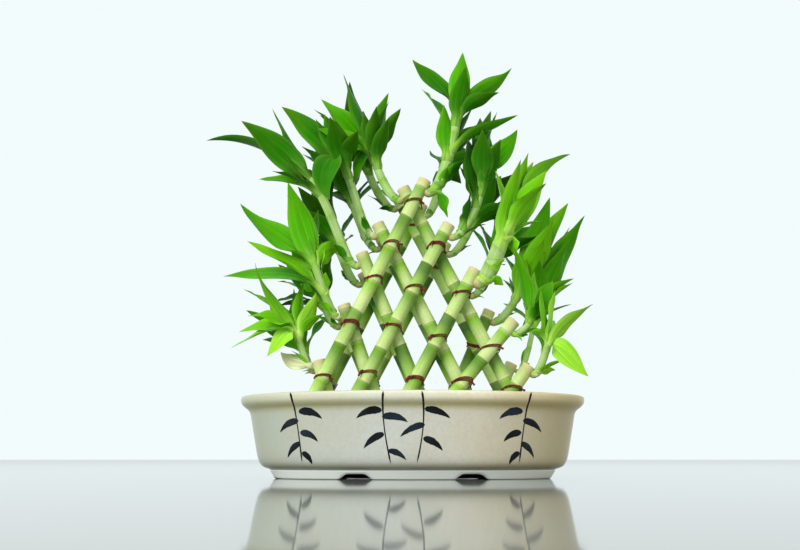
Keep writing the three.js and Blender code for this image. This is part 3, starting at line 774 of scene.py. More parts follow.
def dish_outline(look):
    """The dish's outline as half length and height, from the middle of its underside round to its floor."""
    length, rim, foot = look.rim_length / 2 / MM, look.rim_height / MM, look.foot_height / MM
    wall, floor = look.wall_thickness / MM, look.floor_height / MM
    foot_out = length - FOOT_INSET
    foot_in = foot_out - FOOT_WIDTH
    underside = (
        (0, 0.4, 0), (BOSS_REACH, 0.4, 0.4), (BOSS_REACH + 3, 4, 0.5), (foot_in - 1, 4, 0.5), (foot_in, 0, 1),
        (foot_out, 0, 1.2))
    outside = (
        (foot_out + 3.6, foot - 1, 0.5), (foot_out + 3.4, foot, 0.8), (length - 14, foot + 2.6, 9),
        (length - 6.8, 47.6, 3))
    lip = (
        (length - 2.4, 50.6, 2.4), (length - 0.1, 53.4, 3), (length, 57.6, 1.6),
        (length - 3.4, rim + 0.3, 2.2), (length - 7.2, 57.2, 2.4), (length - 9.6, 54.4, 2))
    inside = (
        (length - LIP_OVERHANG - wall, 50, 3), (length - 21.5, floor + 4, 3), (length - 26.5, floor, 3),
        (0, floor, 0))
    return rounded(underside + outside + lip + inside)


def spaced(outline, longest):
    """The same outline with long stretches cut into shorter ones."""
    points = [outline[0]]
    for after in outline[1:]:
        before = points[-1]
        pieces = max(1, math.ceil((after - before).length / longest))
        points.extend(before.lerp(after, step / pieces) for step in range(1, pieces + 1))
    return points


def oval_width(radius, look):
    """Half width of the oval whose half length is radius."""
    narrowing = (look.rim_length - look.rim_width) / 2 / MM
    if radius > OVAL_FROM:
        return radius - narrowing
    return radius * (OVAL_FROM - narrowing) / OVAL_FROM


def notch_height(x, look):
    """How high the foot is cut away at a place along the dish."""
    from_middle = abs(abs(x) - look.notch_place / MM)
    return look.notch_height / MM * (1 - smooth_step(NOTCH_FLAT, NOTCH_END, from_middle))


def oval_point(radius, height, angle, look):
    """A point on the dish's oval of that half length."""
    return Vector((radius * math.cos(angle), oval_width(radius, look) * math.sin(angle), height))


def oval_solid(shape, profile, sides, look, material=0):
    """Adds a closed solid of ovals like the dish's, from a profile of half length and height."""
    last = len(profile) - 1

    def place(u, v):
        return oval_point(*profile[round(v * last)], 2 * math.pi * u, look)

    shaped_grid(shape, sides, last, place, material)


def build_dish(look):
    outline = spaced(dish_outline(look), 4)
    last = len(outline) - 1

    def place(u, v):
        radius, height = outline[round(v * last)]
        point = oval_point(radius, height, 2 * math.pi * u, look)
        if radius > OVAL_FROM:
            point.z = max(height, min(notch_height(point.x, look), height + 10))
        return point

    shape = new_shape()
    shaped_grid(shape, DISH_SIDES, last, place)
    return shape


# Brush strokes on the dish: sprigs of bamboo, each a stem and its leaves as
# (start, bend, end, widest half width), with places in millimetres from the middle of the sprig
SIDE_SPRIG = (
    ((-7, 58), (-3, 46), (1, 10.5), 0.85),
    ((-1.5, 45), (8, 46.5), (15, 40), 2.6), ((-1.5, 39), (-10, 39), (-15, 31.5), 2.4),
    ((-0.5, 31), (7, 31.5), (12, 25), 2.3), ((0, 24), (-6, 23), (-9.5, 14.5), 2.2),
    ((0.8, 18), (6, 16), (8, 10), 2.0),
)
MIDDLE_SPRIG = (
    ((-13, 58), (-15, 40), (-8, 10), 0.85), ((12, 58), (16, 40), (9, 11), 0.85),
    ((-14, 45), (-24, 47), (-31, 40), 2.6), ((-14, 41), (-4, 43), (3, 37.5), 2.6),
    ((14, 46), (24, 46), (31, 40), 2.4), ((14.3, 36), (5, 35), (-2, 28), 2.3),
    ((-12.5, 30), (-21, 28), (-26, 20.5), 2.4), ((13, 27), (21, 26), (26, 19), 2.4),
    ((-10, 19), (-3, 19), (2, 13), 2.1),
)
SPRIG_PLACES = ((-76, SIDE_SPRIG, 1), (-7, MIDDLE_SPRIG, 1), (72, SIDE_SPRIG, -1))

# How far the top, the edge and the underside of a stroke stand out from the glaze, the half width under which
# a stroke is a stem, and the faces across and along a stem and a leaf
STROKE_TOP = 0.12
STROKE_EDGE = -0.02
STROKE_UNDER = -0.35
THIN_STROKE = 1
THIN_GRID = (12, 40)
BROAD_GRID = (12, 26)


def wall_point(x, height, out, outline, look, side):
    """A point on the outside of the dish, moved out from it; side is -1 for the front and 1 for the back."""
    walls = [corner for corner in outline if corner[0] > OVAL_FROM]
    top = max(range(len(walls)), key=lambda number: walls[number][1])
    radius = walls[top][0]
    for before, after in zip(walls[:top], walls[1:top + 1]):
        if before[1] <= height <= after[1]:
            share = (height - before[1]) / max(after[1] - before[1], 1e-6)
            radius = lerp(before[0], after[0], share)
            break
    width = oval_width(radius, look)
    x = max(-0.999 * radius, min(0.999 * radius, x))
    y = width * math.sqrt(1 - (x / radius) ** 2)
    outward = Vector((x / radius**2, y / width**2, 0)).normalized()
    point = Vector((x, y, height)) + outward * out
    point.y *= side
    return point


def build_brushwork(look):
    outline = dish_outline(look)
    shape = new_shape()
    for side in (-1, 1):
        for middle, sprig, turned in SPRIG_PLACES:
            for start, bend, end, widest in sprig:
                add_stroke(shape, outline, look, side, (middle, turned), (start, bend, end), widest)
    return shape


def add_stroke(shape, outline, look, side, spot, path, widest):
    """One brush stroke: a flat closed ribbon that stands just proud of the glaze."""
    middle, turned = spot
    start, bend, end = (Vector(corner) for corner in path)
    thin = widest < THIN_STROKE

    def place(u, v):
        centre = start.lerp(bend, v).lerp(bend.lerp(end, v), v)
        slope = (bend - start).lerp(end - bend, v).normalized()
        across = Vector((-slope.y, slope.x))
        swell = 0.75 + 0.25 * math.cos(5 * v) if thin else math.sin(math.pi * v**0.62) ** 0.75
        ends = min(1, 14 * v, 14 * (1 - v)) if thin else 1
        half = widest * swell * ends
        half *= 1 + 0.12 * noise.noise(Vector((centre.x * 0.5, centre.y * 0.5, side)))
        top, edge = sheet_side(u)
        spread = centre + across * half * edge
        if abs(edge) < 0.99:
            out = STROKE_TOP if top else STROKE_UNDER
        else:
            out = STROKE_EDGE
        return wall_point(middle + turned * spread.x, spread.y, out, outline, look, side)

    shaped_grid(shape, *(THIN_GRID if thin else BROAD_GRID), place)


# Pebbles


# Kinds of pebbles as name, colour and blotches, and the dark mound under them, painted shade for the gaps
# between pebbles
PEBBLE_COLOURS = (
    ("pebble cream", (0.62, 0.57, 0.46), (0.42, 0.36, 0.26)),
    ("pebble grey", (0.38, 0.38, 0.36), (0.22, 0.22, 0.21)),
    ("pebble white", (0.74, 0.72, 0.66), (0.52, 0.5, 0.45)),
    ("pebble tan", (0.45, 0.33, 0.2), (0.28, 0.2, 0.12)),
)
PEBBLE_SHADE = ("pebble shade", (0.12, 0.10, 0.08), (0.05, 0.045, 0.04))

# Half length, width and height of a large pebble as shares of the spacing, each with how much it varies
PEBBLE_HALVES = ((0.46, 0.1), (0.38, 0.1), (0.28, 0.06))

# The size of a small pebble beside a large one, and how much lower small ones and large ones lie, as shares
# of the rise
SMALL_SCALE = 0.62
SMALL_DROP = 0.8
LARGE_DROP = 0.4

# How far out pebbles lie, the sizes that a crowded one is tried at, how often it is moved off a cane, and how
# uneven pebbles are
EDGE_LIMIT = 1.04
PEBBLE_SCALES = (1, 0.75, 0.5)
MOVES = 3
PEBBLE_DENTS = 0.16


def build_pebbles(look, dish_look, cane_look):
    """The source's staggered pebbles, with smaller ones in the hollows between them."""
    shape = new_shape()
    draw, sizes = seeded_draw(look.seed), seeded_draw(look.seed + 1)
    lines = cane_lines()
    length, width = dish_look.rim_length / 2 / MM, dish_look.rim_width / 2 / MM
    inside = length - LIP_OVERHANG - dish_look.wall_thickness / MM - 1
    rise, bed = look.rise / MM, look.bed_height / MM
    step_x = look.spacing / MM / 2
    step_y = step_x * math.sin(math.pi / 3)
    columns, rows = math.ceil(length / step_x), math.ceil(width / step_y)
    for row in range(-rows, rows + 1):
        for column in range(-columns, columns + 1):
            large = row % 2 == 0 and (column + row // 2) % 2 == 0
            small = row % 2 == 1 and (column + (row + 1) // 2) % 2 == 0
            if not large and not small:
                continue
            x, y = column * step_x, row * step_y
            level = bed - look.crown / MM * ((x / length) ** 2 + (y / width) ** 2)
            halves = Vector(dealt(sizes, *half) for half in PEBBLE_HALVES)
            stretch = halves * look.spacing / MM
            if large:
                x += look.shift / MM * (draw() - 0.5)
                y += look.shift / MM * (draw() - 0.5)
                level -= LARGE_DROP * rise * draw()
            else:
                level -= rise * SMALL_DROP
                stretch *= SMALL_SCALE
            spot = Vector((x, y, level - stretch.z))
            place_pebble(shape, spot, stretch, sizes, lines, cane_look, (inside, dish_look))
    add_bed(shape, inside, bed - 2 * rise, dish_look)
    return shape


def place_pebble(shape, spot, stretch, draw, lines, cane_look, room):
    """Adds a pebble where it has room between the dish and the canes, smaller if need be."""
    inside, dish_look = room
    reach = inside - stretch.x
    if (spot.x / reach) ** 2 + (spot.y / oval_width(reach, dish_look)) ** 2 > EDGE_LIMIT:
        return
    for scale in PEBBLE_SCALES:
        free = clear_of_canes(spot, stretch.x * scale, lines, cane_look)
        if free:
            add_pebble(shape, free, stretch * scale, draw)
            return


def clear_of_canes(spot, half, lines, cane_look):
    """The spot moved aside from the cane it would touch, or None where it still touches one."""
    for tried in range(MOVES):
        for line in lines:
            axis = line.at(spot.z)
            away_from = Vector((spot.x - axis.x, spot.y - axis.y, 0))
            least = cane_look.radius / MM / math.cos(line.lean) + half * 0.9
            if away_from.length < least:
                if tried == MOVES - 1 or away_from.length < 0.5:
                    return None
                spot = spot + away_from.normalized() * (least - away_from.length + 0.05)
    return spot


def add_pebble(shape, spot, stretch, draw):
    made = bmesh.ops.create_icosphere(shape, subdivisions=2, radius=1)["verts"]
    turn = 2 * math.pi * draw()
    seed = Vector((40 * draw(), 40 * draw(), 40 * draw()))
    for vert in made:
        dent = 1 + PEBBLE_DENTS * noise.noise(vert.co * 1.1 + seed)
        x, y, z = (part * size * dent for part, size in zip(vert.co, stretch))
        vert.co = spot + Vector(
            (x * math.cos(turn) - y * math.sin(turn), x * math.sin(turn) + y * math.cos(turn), z))
    kind = int(draw() * len(PEBBLE_COLOURS))
    for face in {face for vert in made for face in vert.link_faces}:
        face.material_index = kind


def add_bed(shape, inside, level, dish_look):
    """A low closed mound that fills the dish under the pebbles, dark as painted shade in the gaps."""
    profile = (
        (0, level - 12), (inside - 6, level - 12), (inside - 0.5, level - 2), (inside - 1.5, level),
        (0, level))
    oval_solid(shape, profile, BED_SIDES, dish_look, len(PEBBLE_COLOURS))


# Canes


# A ring as (millimetres above its middle, how far it stands out), how far its lean reaches and how steep
# that is, and how far a cane draws in between rings, with what stands out or in as shares of the ring swell
RING_SHAPE = (
    (-4, -0.04), (-1.6, 0.02), (-0.9, 0.12), (-0.45, 0.6), (-0.1, 1), (0.2, 0.9), (0.45, 0.1), (0.8, -0.2),
    (1.3, 0.1), (2.2, 0.12), (4.5, -0.02),
)
RING_REACH = 2.2
RING_SLOPE = 0.32
WAIST = 0.22

# Where the first ring is and how far apart rings are, in internodes, each as (least, how much more at most)
FIRST_RING = (0.35, 0.6)
RING_GAP = (0.9, 0.2)

# Rows of a cane under its cut and how far down its skin is dried, in millimetres below the cut, and how many
# rows the cut has
DRIED_ROWS = (6.5, 4.6, 3.2, 1.8)
DRIED_REACH = 8
CUT_ROWS = 4

# More than any cane or any stem has internodes, so that each has marks of its own
MARKS_FOR_EACH = 20
MARKS_FOR_EACH_STEM = 30


def cane_lines():
    """Every cane's centre line, in the source's order."""
    found = []
    for screen in ("front", "rear"):
        for kind in ("rising", "falling"):
            for number, (foot, lean, top, green) in enumerate(CANES[screen, kind]):
                found.append(CaneLine(screen, kind, number, foot, math.radians(lean), top, green))
    return found


class CaneLine:
    """The centre line of one cane."""

    def __init__(self, screen, kind, number, foot, lean, top, green):
        self.screen, self.kind, self.number, self.lean, self.green = screen, kind, number, lean, green
        self.side = -1 if screen == "front" else 1
        self.depth = self.side * (LATTICE_DEPTH + (CANE_SPREAD if kind == "rising" else -CANE_SPREAD))
        self.crossing_x = foot
        self.direction = Vector((math.sin(lean), 0, math.cos(lean)))
        self.foot = self.at(CANE_FOOT)
        self.top = self.at(top)

    def at(self, height):
        return Vector((self.crossing_x + (height - TIE_LEVEL) * math.tan(self.lean), self.depth, height))

    @property
    def label(self):
        return f"{self.screen}_{self.kind}"


def cane_rows(line, look):
    """Rows of (radius, height, mark, at a ring) from foot to cut top. A mark counts internodes."""
    radius, swell, internode = look.radius / MM, look.ring_swell / MM, look.internode / MM
    length = (line.top - line.foot).length
    draw = seeded_draw(line.number * 7 + RING_SEEDS[line.screen, line.kind])
    rings = []
    ring = internode * dealt(draw, *FIRST_RING)
    while ring < length - 2 * look.ring_width / MM:
        rings.append(ring)
        ring += internode * dealt(draw, *RING_GAP)

    def mark(height):
        for number, (low, high) in enumerate(zip(rings, rings[1:] + [ring])):
            if low <= height < high:
                return number + 1 + (height - low) / (high - low)
        return max(0.02, 1 - (rings[0] - height) / internode)

    rows = [(0, 0, 0.02, 0), (radius, 0, 0.02, 0)]
    for place in rings:
        for above, rise in RING_SHAPE:
            height = place + above
            if rows[-1][1] + 0.1 < height < length - 0.7:
                near = math.exp(-(above / RING_REACH) ** 2)
                rows.append((radius + swell * rise, height, mark(height), near))
        middle = place + 0.5 * internode
        if middle < length - 3:
            rows.append((radius - WAIST * swell, middle, mark(middle), 0))
    for below in DRIED_ROWS:
        if rows[-1][1] < length - below - 0.3:
            rows.append((radius, length - below, mark(length - below), 0))
    for reach, below in ((radius, 0.55), (radius - 0.12, 0.18)):
        rows.append((reach, length - below, mark(length - below), 0))
    cut = ((radius - 0.45, 0, 0), (radius - 1.1, 0.08, 0.3), (radius * 0.45, 0.3, 0.7), (0, 0.35, 1))
    return rows + [(reach, length - below, shown, 0) for reach, below, shown in cut]


def build_cane(line, order, look):
    rows = cane_rows(line, look)
    last = len(rows) - 1
    first, second = two_sides(line.direction, AWAY)
    draw = seeded_draw(SKIN_SEED + order)
    phases = [2 * math.pi * draw() for _ in range(3)]

    def place(u, v):
        radius, height, shown, near = rows[round(v * last)]
        angle = 2 * math.pi * u
        slant = RING_SLOPE * math.sin(angle + phases[0] + 2.4 * round(shown)) * near
        flat = 0.008 * math.sin(2 * angle + phases[1] + height * 0.05)
        uneven = 1 + flat + 0.006 * math.sin(3 * angle + phases[2])
        outward = first * math.cos(angle) + second * math.sin(angle)
        return line.foot + line.direction * (height + slant) + outward * (radius * uneven)

    def mark(v):
        return rows[round(v * last)][2] + MARKS_FOR_EACH * order

    def material(face):
        return 1 if grid_row(shape, face, last) > last - CUT_ROWS else 0

    shape = new_shape()
    shaped_grid(shape, CANE_SIDES, last, place, material, mark)
    near_cut = shape.verts.layers.float.new(NEAR_CUT)
    # How green each cane is, on the rear canes partly as painted shade
    greenness = shape.verts.layers.float.new(GREENNESS_AND_SHADE)
    for vert in shape.verts:
        below_cut = (line.top - vert.co).dot(line.direction)
        vert[near_cut] = 1 - smooth_step(0, DRIED_REACH, below_cut)
        vert[greenness] = line.green
    return shape


# Wire ties


# Points on one turn and on a tail, how often the tails twist, and from where on they spread
TURN_STEPS = 40
TAIL_STEPS = 21
TAIL_TWISTS = 2.6
TAIL_SPREAD_FROM = 0.8

# The share of ties that have one turn fewer, and the share that have their tails at the right
FEWER_TURNS = 0.6
RIGHT_TAILS = 0.55

# What differs from tie to tie, from and to: gap between turns in wire radii, share of the arch, slant, how
# far the tails point down, and how long they are
TURN_GAP = (2.2, 3.3)
ARCH_SHARE = (0.7, 1.3)
TIE_SLANT = (-1.2, 0.3)
TAIL_FALL = (-0.3, -1.3)
TAIL_LENGTH = (2, 4.4)


def crossing(rising, falling, rim_height):
    """Where two canes of one lattice cross, or None where they don't between the rim and the cut tops."""
    slopes = math.tan(rising.lean) - math.tan(falling.lean)
    height = rising.foot.z + (falling.foot.x - rising.foot.x) / slopes
    if height < rim_height or height > min(rising.top.z, falling.top.z) - ROOM_ABOVE_CROSSING:
        return None
    return Vector((rising.at(height).x, rising.side * LATTICE_DEPTH, height))


def tie_path(rising, falling, centre, look, cane_look, draw):
    """The wire's path: wound round both canes, then its two ends twisted together."""
    wire = look.wire_radius / MM
    hug = cane_look.radius / MM + cane_look.ring_swell / MM + wire + 0.1
    turns = look.turns - (1 if draw() < FEWER_TURNS else 0)
    right = draw() < RIGHT_TAILS
    corner = math.radians(-28 - 20 * draw() if right else 208 + 20 * draw())
    if rising.side > 0:
        corner = -corner
    gap = wire * lerp(*TURN_GAP, draw())
    arch = look.arch / MM * lerp(*ARCH_SHARE, draw())
    slant = lerp(*TIE_SLANT, draw())
    wind = []
    for step in range(turns * TURN_STEPS + 1):
        angle = corner + 2 * math.pi * step / TURN_STEPS
        outside = math.sin(angle) * rising.side
        height = (step / TURN_STEPS - turns / 2) * gap + arch * outside + slant * math.cos(angle)
        line = rising if outside > 0 else falling
        aside = height * math.tan(line.lean)
        x = aside + hug / math.cos(line.lean) * math.cos(angle)
        y = math.copysign(CANE_SPREAD, math.sin(angle)) + hug * math.sin(angle)
        wind.append(centre + Vector((x, y, height)))
    outward = Vector((math.cos(corner), math.sin(corner), lerp(*TAIL_FALL, draw()))).normalized()
    knot = (wind[0] + wind[-1]) / 2 + outward * wire * 2
    first, second = two_sides(outward, UP)
    twist_length = lerp(*TAIL_LENGTH, draw())
    ends = []
    for end in (0, math.pi):
        tail = []
        for step in range(TAIL_STEPS + 1):
            share = step / TAIL_STEPS
            angle = end + 2 * math.pi * TAIL_TWISTS * share
            spread = wire * (1.05 + 2.4 * max(0, share - TAIL_SPREAD_FROM))
            sideways = first * math.cos(angle) + second * math.sin(angle)
            tail.append(knot + outward * twist_length * share + sideways * spread)
        ends.append(tail)
    return ends[0][::-1] + wind + ends[1]


def build_ties(screen, look, cane_look, dish_look):
    """The ties of one lattice as one shape, and the names of the nodes that they stand for."""
    shape = new_shape()
    lines = [line for line in cane_lines() if line.screen == screen]
    draw = seeded_draw(TIE_SEEDS[screen])
    names = []
    half = len(lines) // 2
    for rising in lines[:half]:
        for falling in lines[half:]:
            centre = crossing(rising, falling, dish_look.rim_height / MM)
            if centre is None:
                continue
            points = tie_path(rising, falling, centre, look, cane_look, draw)
            radii = [0] + [look.wire_radius / MM] * (len(points) - 2) + [0]
            add_tube(shape, points, radii, TIE_SIDES)
            names.append(f"tie_{rising.number + 1}_{falling.number + 1}")
    return shape, names


# Shoots


# Half the angle that a sheath wraps round its stem, in radians, and where along a leaf its outer part and
# the part that is tested as a whole start
SHEATH_WRAP = 1.9
OUTER_FROM = 0.3
WHOLE_FROM = 0.12

# A sheath's length: its share of the leaf's, at most so many millimetres, and what every sheath has besides
SHEATH_SHARE = 0.16
SHEATH_MOST = 7
SHEATH_LEAST = 1.5

# How far a sheath stands off its stem, how much more each next one does, so that no two lie at one radius,
# and how far its foot is sunk in the stem
SHEATH_OFFSET = 0.3
SHEATH_STEP = 0.09
SHEATH_SUNK = 0.15

# What differs from leaf to leaf, as (least, how much more at most): how far its tip hangs, half its fold in
# radians, how high it waves as a share of its width, and how often
TIP_DROOP = (0.1, 0.3)
LEAF_FOLD = (0.34, 0.3)
LEAF_WAVE = (0.02, 0.05)
LEAF_BEATS = (1.2, 1.3)

# How far a leaf leans across as it leaves its stem, how far its tip keeps its direction as a share of its
# length, and its outline: the width at its foot, where it is widest, how full it is, and how much narrower
# and thinner its tip is
LEAF_LEAN = 0.3
LEAF_TIP_PULL = 0.45
LEAF_FOOT = 0.24
LEAF_BELLY = 0.86
LEAF_FULLNESS = 0.8
TIP_NARROWING = 0.3
TIP_THINNING = 0.6

# Faces across and along a leaf: a large one, a small one, and one in the clearance test, and how far the
# tones of one shoot's leaves are apart
LARGE_GRID = (16, 22)
SMALL_GRID = (12, 12)
TRIAL_GRID = (8, 9)
TONE_SPREAD = 1.7

# The collar of a stem as (height, share of the stem's radius, mark)
COLLAR_SHAPE = (
    (0, 0, 0.4), (0, 0.9, 0.4), (0.5, 1.04, 0.5), (1.4, 1.1, 0.6), (2.3, 1.04, 0.8), (3.2, 1, 0.96),
)
COLLAR_ROWS = 3

# An old sheath's scar and the stem above it as (share of the way to the next scar, how far it stands out),
# with the swell as a share of the radius
SCAR_SHAPE = ((0, 0.8), (0.06, -0.1), (0.2, -0.2), (0.4, -0.1), (0.6, 0), (0.8, 0.2), (0.96, 0.7))
SCAR_SWELL = 0.05

# The gap between scars as (least, how much more at most), its share on a thick stem, how much a scar slants,
# and how far the stem's foot is sunk in its cane
SCAR_GAP = (0.75, 0.6)
CROWDED_SCARS = 0.25
SCAR_SLANT = 0.4
STEM_SUNK = 2.2


def direction_of(heading, depth):
    """A direction from degrees clockwise from straight up, as the viewer sees it, and degrees away."""
    heading, depth = math.radians(heading), math.radians(depth)
    flat = math.cos(depth)
    return Vector((math.sin(heading) * flat, math.sin(depth), math.cos(heading) * flat))


class Growth:
    """One shoot: its cane, its table row and the curve of its stem."""

    def __init__(self, line, order, cane_look):
        self.line, self.order = line, order
        self.row = SHOOTS[line.screen, line.kind][line.number]
        self.name = f"{line.label}_shoot_{line.number + 1}"
        drop = SHOOT_DROP if line.number < LONG_CANES else SHORT_DROP
        outward = Vector((line.direction.z, 0, -line.direction.x)) * (1 if line.kind == "rising" else -1)
        self.outward = outward
        reach_out = (cane_look.radius + cane_look.ring_swell) / MM + CLEARANCE
        root = line.top - line.direction * drop + outward * reach_out
        right, rise, back = self.row.tip
        tip = root + Vector((right, back, rise))
        reach = (tip - root).length
        lower = root + outward * reach * ROOT_PULL
        upper = tip - direction_of(self.row.heading, 0) * reach * TIP_PULL
        self.curve = Curve((root, lower, upper, tip))
        self.root = root
        self.blades = []

    def radius_at(self, share):
        neck = lerp(NECK, 1, smooth_step(0, NECK_END, share))
        slim = 1 - HEAD_TAPER * smooth_step(HEAD_START, 1, share)
        return self.row.radius * (1 - STEM_TAPER * share) * slim * neck


class Blade:
    """One leaf: its sheath hugs the stem, and its blade bends out to the tip that the rule gives."""

    def __init__(self, growth, share, direction, sideways, length, width, draw, offset, look, end=None):
        self.width = width
        curve = growth.curve
        stem = growth.radius_at(share)
        self.axis = curve.along(share)
        sheath = min(SHEATH_MOST, SHEATH_SHARE * length) + SHEATH_LEAST
        start = curve.at(share - sheath / curve.length)
        aside = direction - self.axis * direction.dot(self.axis)
        face = direction.cross(sideways).normalized()
        face -= self.axis * face.dot(self.axis)
        outward = aside + face * (LEAF_LEAN if draw() < 0.5 else -LEAF_LEAN)
        self.outward = outward.normalized()
        self.wrap = stem + offset
        self.sunk = offset + SHEATH_SUNK
        root = curve.at(share)
        tip = root + direction * length
        droop = dealt(draw, *TIP_DROOP) * (1 - abs(direction.z)) * look.droop
        end = ((end or direction) - UP * droop).normalized()
        falls_back = (1 - direction.dot(self.axis)) / 2
        rise = sheath + length * (0.1 + 0.2 * falls_back)
        self.corners = (
            start + self.outward * self.wrap, start + self.outward * self.wrap + self.axis * rise,
            tip - end * LEAF_TIP_PULL * length, tip)
        self.sheath_end = 0.8 * sheath / (sheath + length)
        side = self.axis.cross(self.outward)
        self.turned = 1
        if side.dot(sideways) < 0:
            side = -side
            self.turned = -1
        self.side, self.sideways = side, sideways
        self.twist = math.radians(look.twist * (draw() - 0.5))
        self.fold = dealt(draw, *LEAF_FOLD)
        self.wave = width * dealt(draw, *LEAF_WAVE)
        self.beats = dealt(draw, *LEAF_BEATS)
        self.phase = 2 * math.pi * draw()
        self.thickness = look.thickness / MM
        self.rows = {}

    def row(self, v):
        """Centre, side, face, arc radius, half angle, thickness and wave at a place along the leaf."""
        if v in self.rows:
            return self.rows[v]
        sunk = self.sunk * (1 - smooth_step(0, 0.8 * self.sheath_end, v))
        centre = bezier(self.corners, v) - self.outward * sunk
        tangent = bezier_slope(self.corners, v).normalized()
        side = self.side.lerp(self.sideways, smooth_step(0.04, 0.5, v))
        side = (side - tangent * side.dot(tangent)).normalized()
        face = tangent.cross(side) * self.turned
        twist = self.twist * smooth_step(0.35, 1, v)
        cosine, sine = math.cos(twist), math.sin(twist)
        side, face = side * cosine + face * sine, face * cosine - side * sine
        leaf_share = min(max((v - self.sheath_end) / (1 - self.sheath_end), 0), 1)
        narrowed = 1 - TIP_NARROWING * smooth_step(0.6, 1, leaf_share)
        outline = math.sin(math.pi * leaf_share**LEAF_BELLY) ** LEAF_FULLNESS * narrowed
        blade = self.width / 2 * max(LEAF_FOOT * (1 - leaf_share) ** 2, outline)
        open_up = smooth_step(0.5 * self.sheath_end, self.sheath_end + 0.16, v)
        half = lerp(SHEATH_WRAP * (self.wrap - sunk), blade, open_up)
        flattened = smooth_step(0.5 * self.sheath_end, self.sheath_end + 0.3, v)
        angle = lerp(SHEATH_WRAP, self.fold, flattened)
        if v >= 1:
            half = 0
        thick = self.thickness * smooth_step(0, 0.03, v) * (1 - TIP_THINNING * v)
        wave = self.wave * smooth_step(0.2, 0.4, v) * (1 - smooth_step(0.8, 1, v))
        self.rows[v] = (centre, side, face, half / angle, angle, thick, wave)
        return self.rows[v]

    def place(self, u, v):
        centre, side, face, radius, angle, thick, wave = self.row(v)
        top, edge = sheet_side(u)
        body = math.sqrt(max(0, 1 - edge * edge))
        lift = radius * (1 - math.cos(edge * angle)) + (0.5 if top else -0.5) * thick * body
        ripple = math.sin(2 * math.pi * self.beats * v + self.phase + (1.7 if edge > 0 else 0))
        lift += wave * edge * edge * ripple
        return centre + side * (radius * math.sin(edge * angle)) + face * lift


def solid_and_box(shape):
    spots = [vert.co for vert in shape.verts]
    low = Vector(min(spot[k] for spot in spots) for k in range(3))
    high = Vector(max(spot[k] for spot in spots) for k in range(3))
    return BVHTree.FromBMesh(shape), low, high


class Crowd:
    """What stands already, so that a new leaf can keep clear of it."""

    def __init__(self):
        self.items = []

    def add(self, shape, owner, outer):
        self.items.append((owner, outer, *solid_and_box(shape)))

    def meets(self, shape, owner, same_owner):
        """True where the shape cuts another owner's solids, or its own leaves' outer parts if same_owner."""
        tree, low, high = solid_and_box(shape)
        for other, outer, solid, other_low, other_high in self.items:
            if (other == owner) != same_owner or (same_owner and not outer):
                continue
            if any(low[k] > other_high[k] or high[k] < other_low[k] for k in range(3)):
                continue
            if tree.overlap(solid):
                return True
        return False


def trial(blade, start):
    """A coarse shape of the part of a leaf from start on, for the clearance test."""
    shape = new_shape()
    shaped_grid(shape, *TRIAL_GRID, lambda u, v: blade.place(u, round(lerp(start, 1, v), 6)))
    return shape


def grow_leaf(growth, crowd, choices, tries=len(DEPTH_TRIES)):
    """The first blade that cuts nothing, or after some tries the first that cuts only its own shoot's."""
    kept = None
    for number, blade in enumerate(choices):
        if kept and number >= tries:
            break
        whole = trial(blade, WHOLE_FROM)
        if crowd.meets(whole, growth.name, False):
            whole.free()
            continue
        outer = trial(blade, OUTER_FROM)
        if not crowd.meets(outer, growth.name, True):
            kept = (blade, whole, outer)
            break
        kept = kept or (blade, whole, outer)
    if not kept:
        return None
    blade, whole, outer = kept
    crowd.add(whole, growth.name, False)
    crowd.add(outer, growth.name, True)
    return blade


def named_blades(growth, leaf, order, look):
    """The choices for a leaf that the table names, as it turns further from or nearer the viewer."""
    share = leaf.share * (1 - ROOT_STEP * order)
    width = look.slimness * leaf.length + look.extra_width / MM
    heading = math.radians(leaf.heading)
    flat = Vector((math.cos(heading), 0, -math.sin(heading)))
    for turn in DEPTH_TRIES:
        direction = direction_of(leaf.heading, leaf.depth + turn)
        edge = direction.cross(flat)
        sideways = flat * leaf.broadside + edge * math.sqrt(1 - leaf.broadside**2)
        end = direction_of(leaf.heading + leaf.curl, leaf.depth + turn)
        draw = seeded_draw(NAMED_LEAF_SEED + 31 * growth.order + order)
        yield Blade(growth, share, direction, sideways, leaf.length, width, draw, offset_of(order), look, end)


def offset_of(order):
    return SHEATH_OFFSET + SHEATH_STEP * order


def turned_blades(growth, share, aside, turns, tilt, size, seed, order, look):
    """The choices for a leaf of a rule, as it is turned on round the stem by steps from its start."""
    start, step = turns
    axis = growth.curve.along(share)
    across = axis.cross(aside)
    for turn in DEPTH_TRIES:
        around = math.radians(start + step * turn)
        outward = aside * math.cos(around) + across * math.sin(around)
        direction = axis * math.cos(tilt) + outward * math.sin(tilt)
        sideways = axis.cross(outward).normalized()
        yield Blade(growth, share, direction, sideways, *size, seeded_draw(seed), offset_of(order), look)


def free_blades(growth, count, order, draw, look, first_order):
    """Choices for a leaf of the rule: leaves wind up the stem, wide open at its foot, steep at its tip."""
    high = (order + 0.5) / count
    share = FREE_START + (1 - FREE_START) * high
    aside = growth.curve.along(share).cross(AWAY).normalized()
    tilt = math.radians(lerp(*FREE_SPREAD, high) + FREE_TILTS * (draw() - 0.5))
    length = lerp(*FREE_LENGTH, high) * dealt(draw, *FREE_SIZES)
    size = (length, look.slimness * length + look.extra_width / MM)
    start = GOLDEN_ANGLE * order + FREE_TURNS * draw() + SHOOT_ANGLE * growth.order
    number = first_order + order
    seed = RULE_LEAF_SEED + 53 * growth.order + number
    return turned_blades(growth, share, aside, (start, RULE_TURN), tilt, size, seed, number, look)


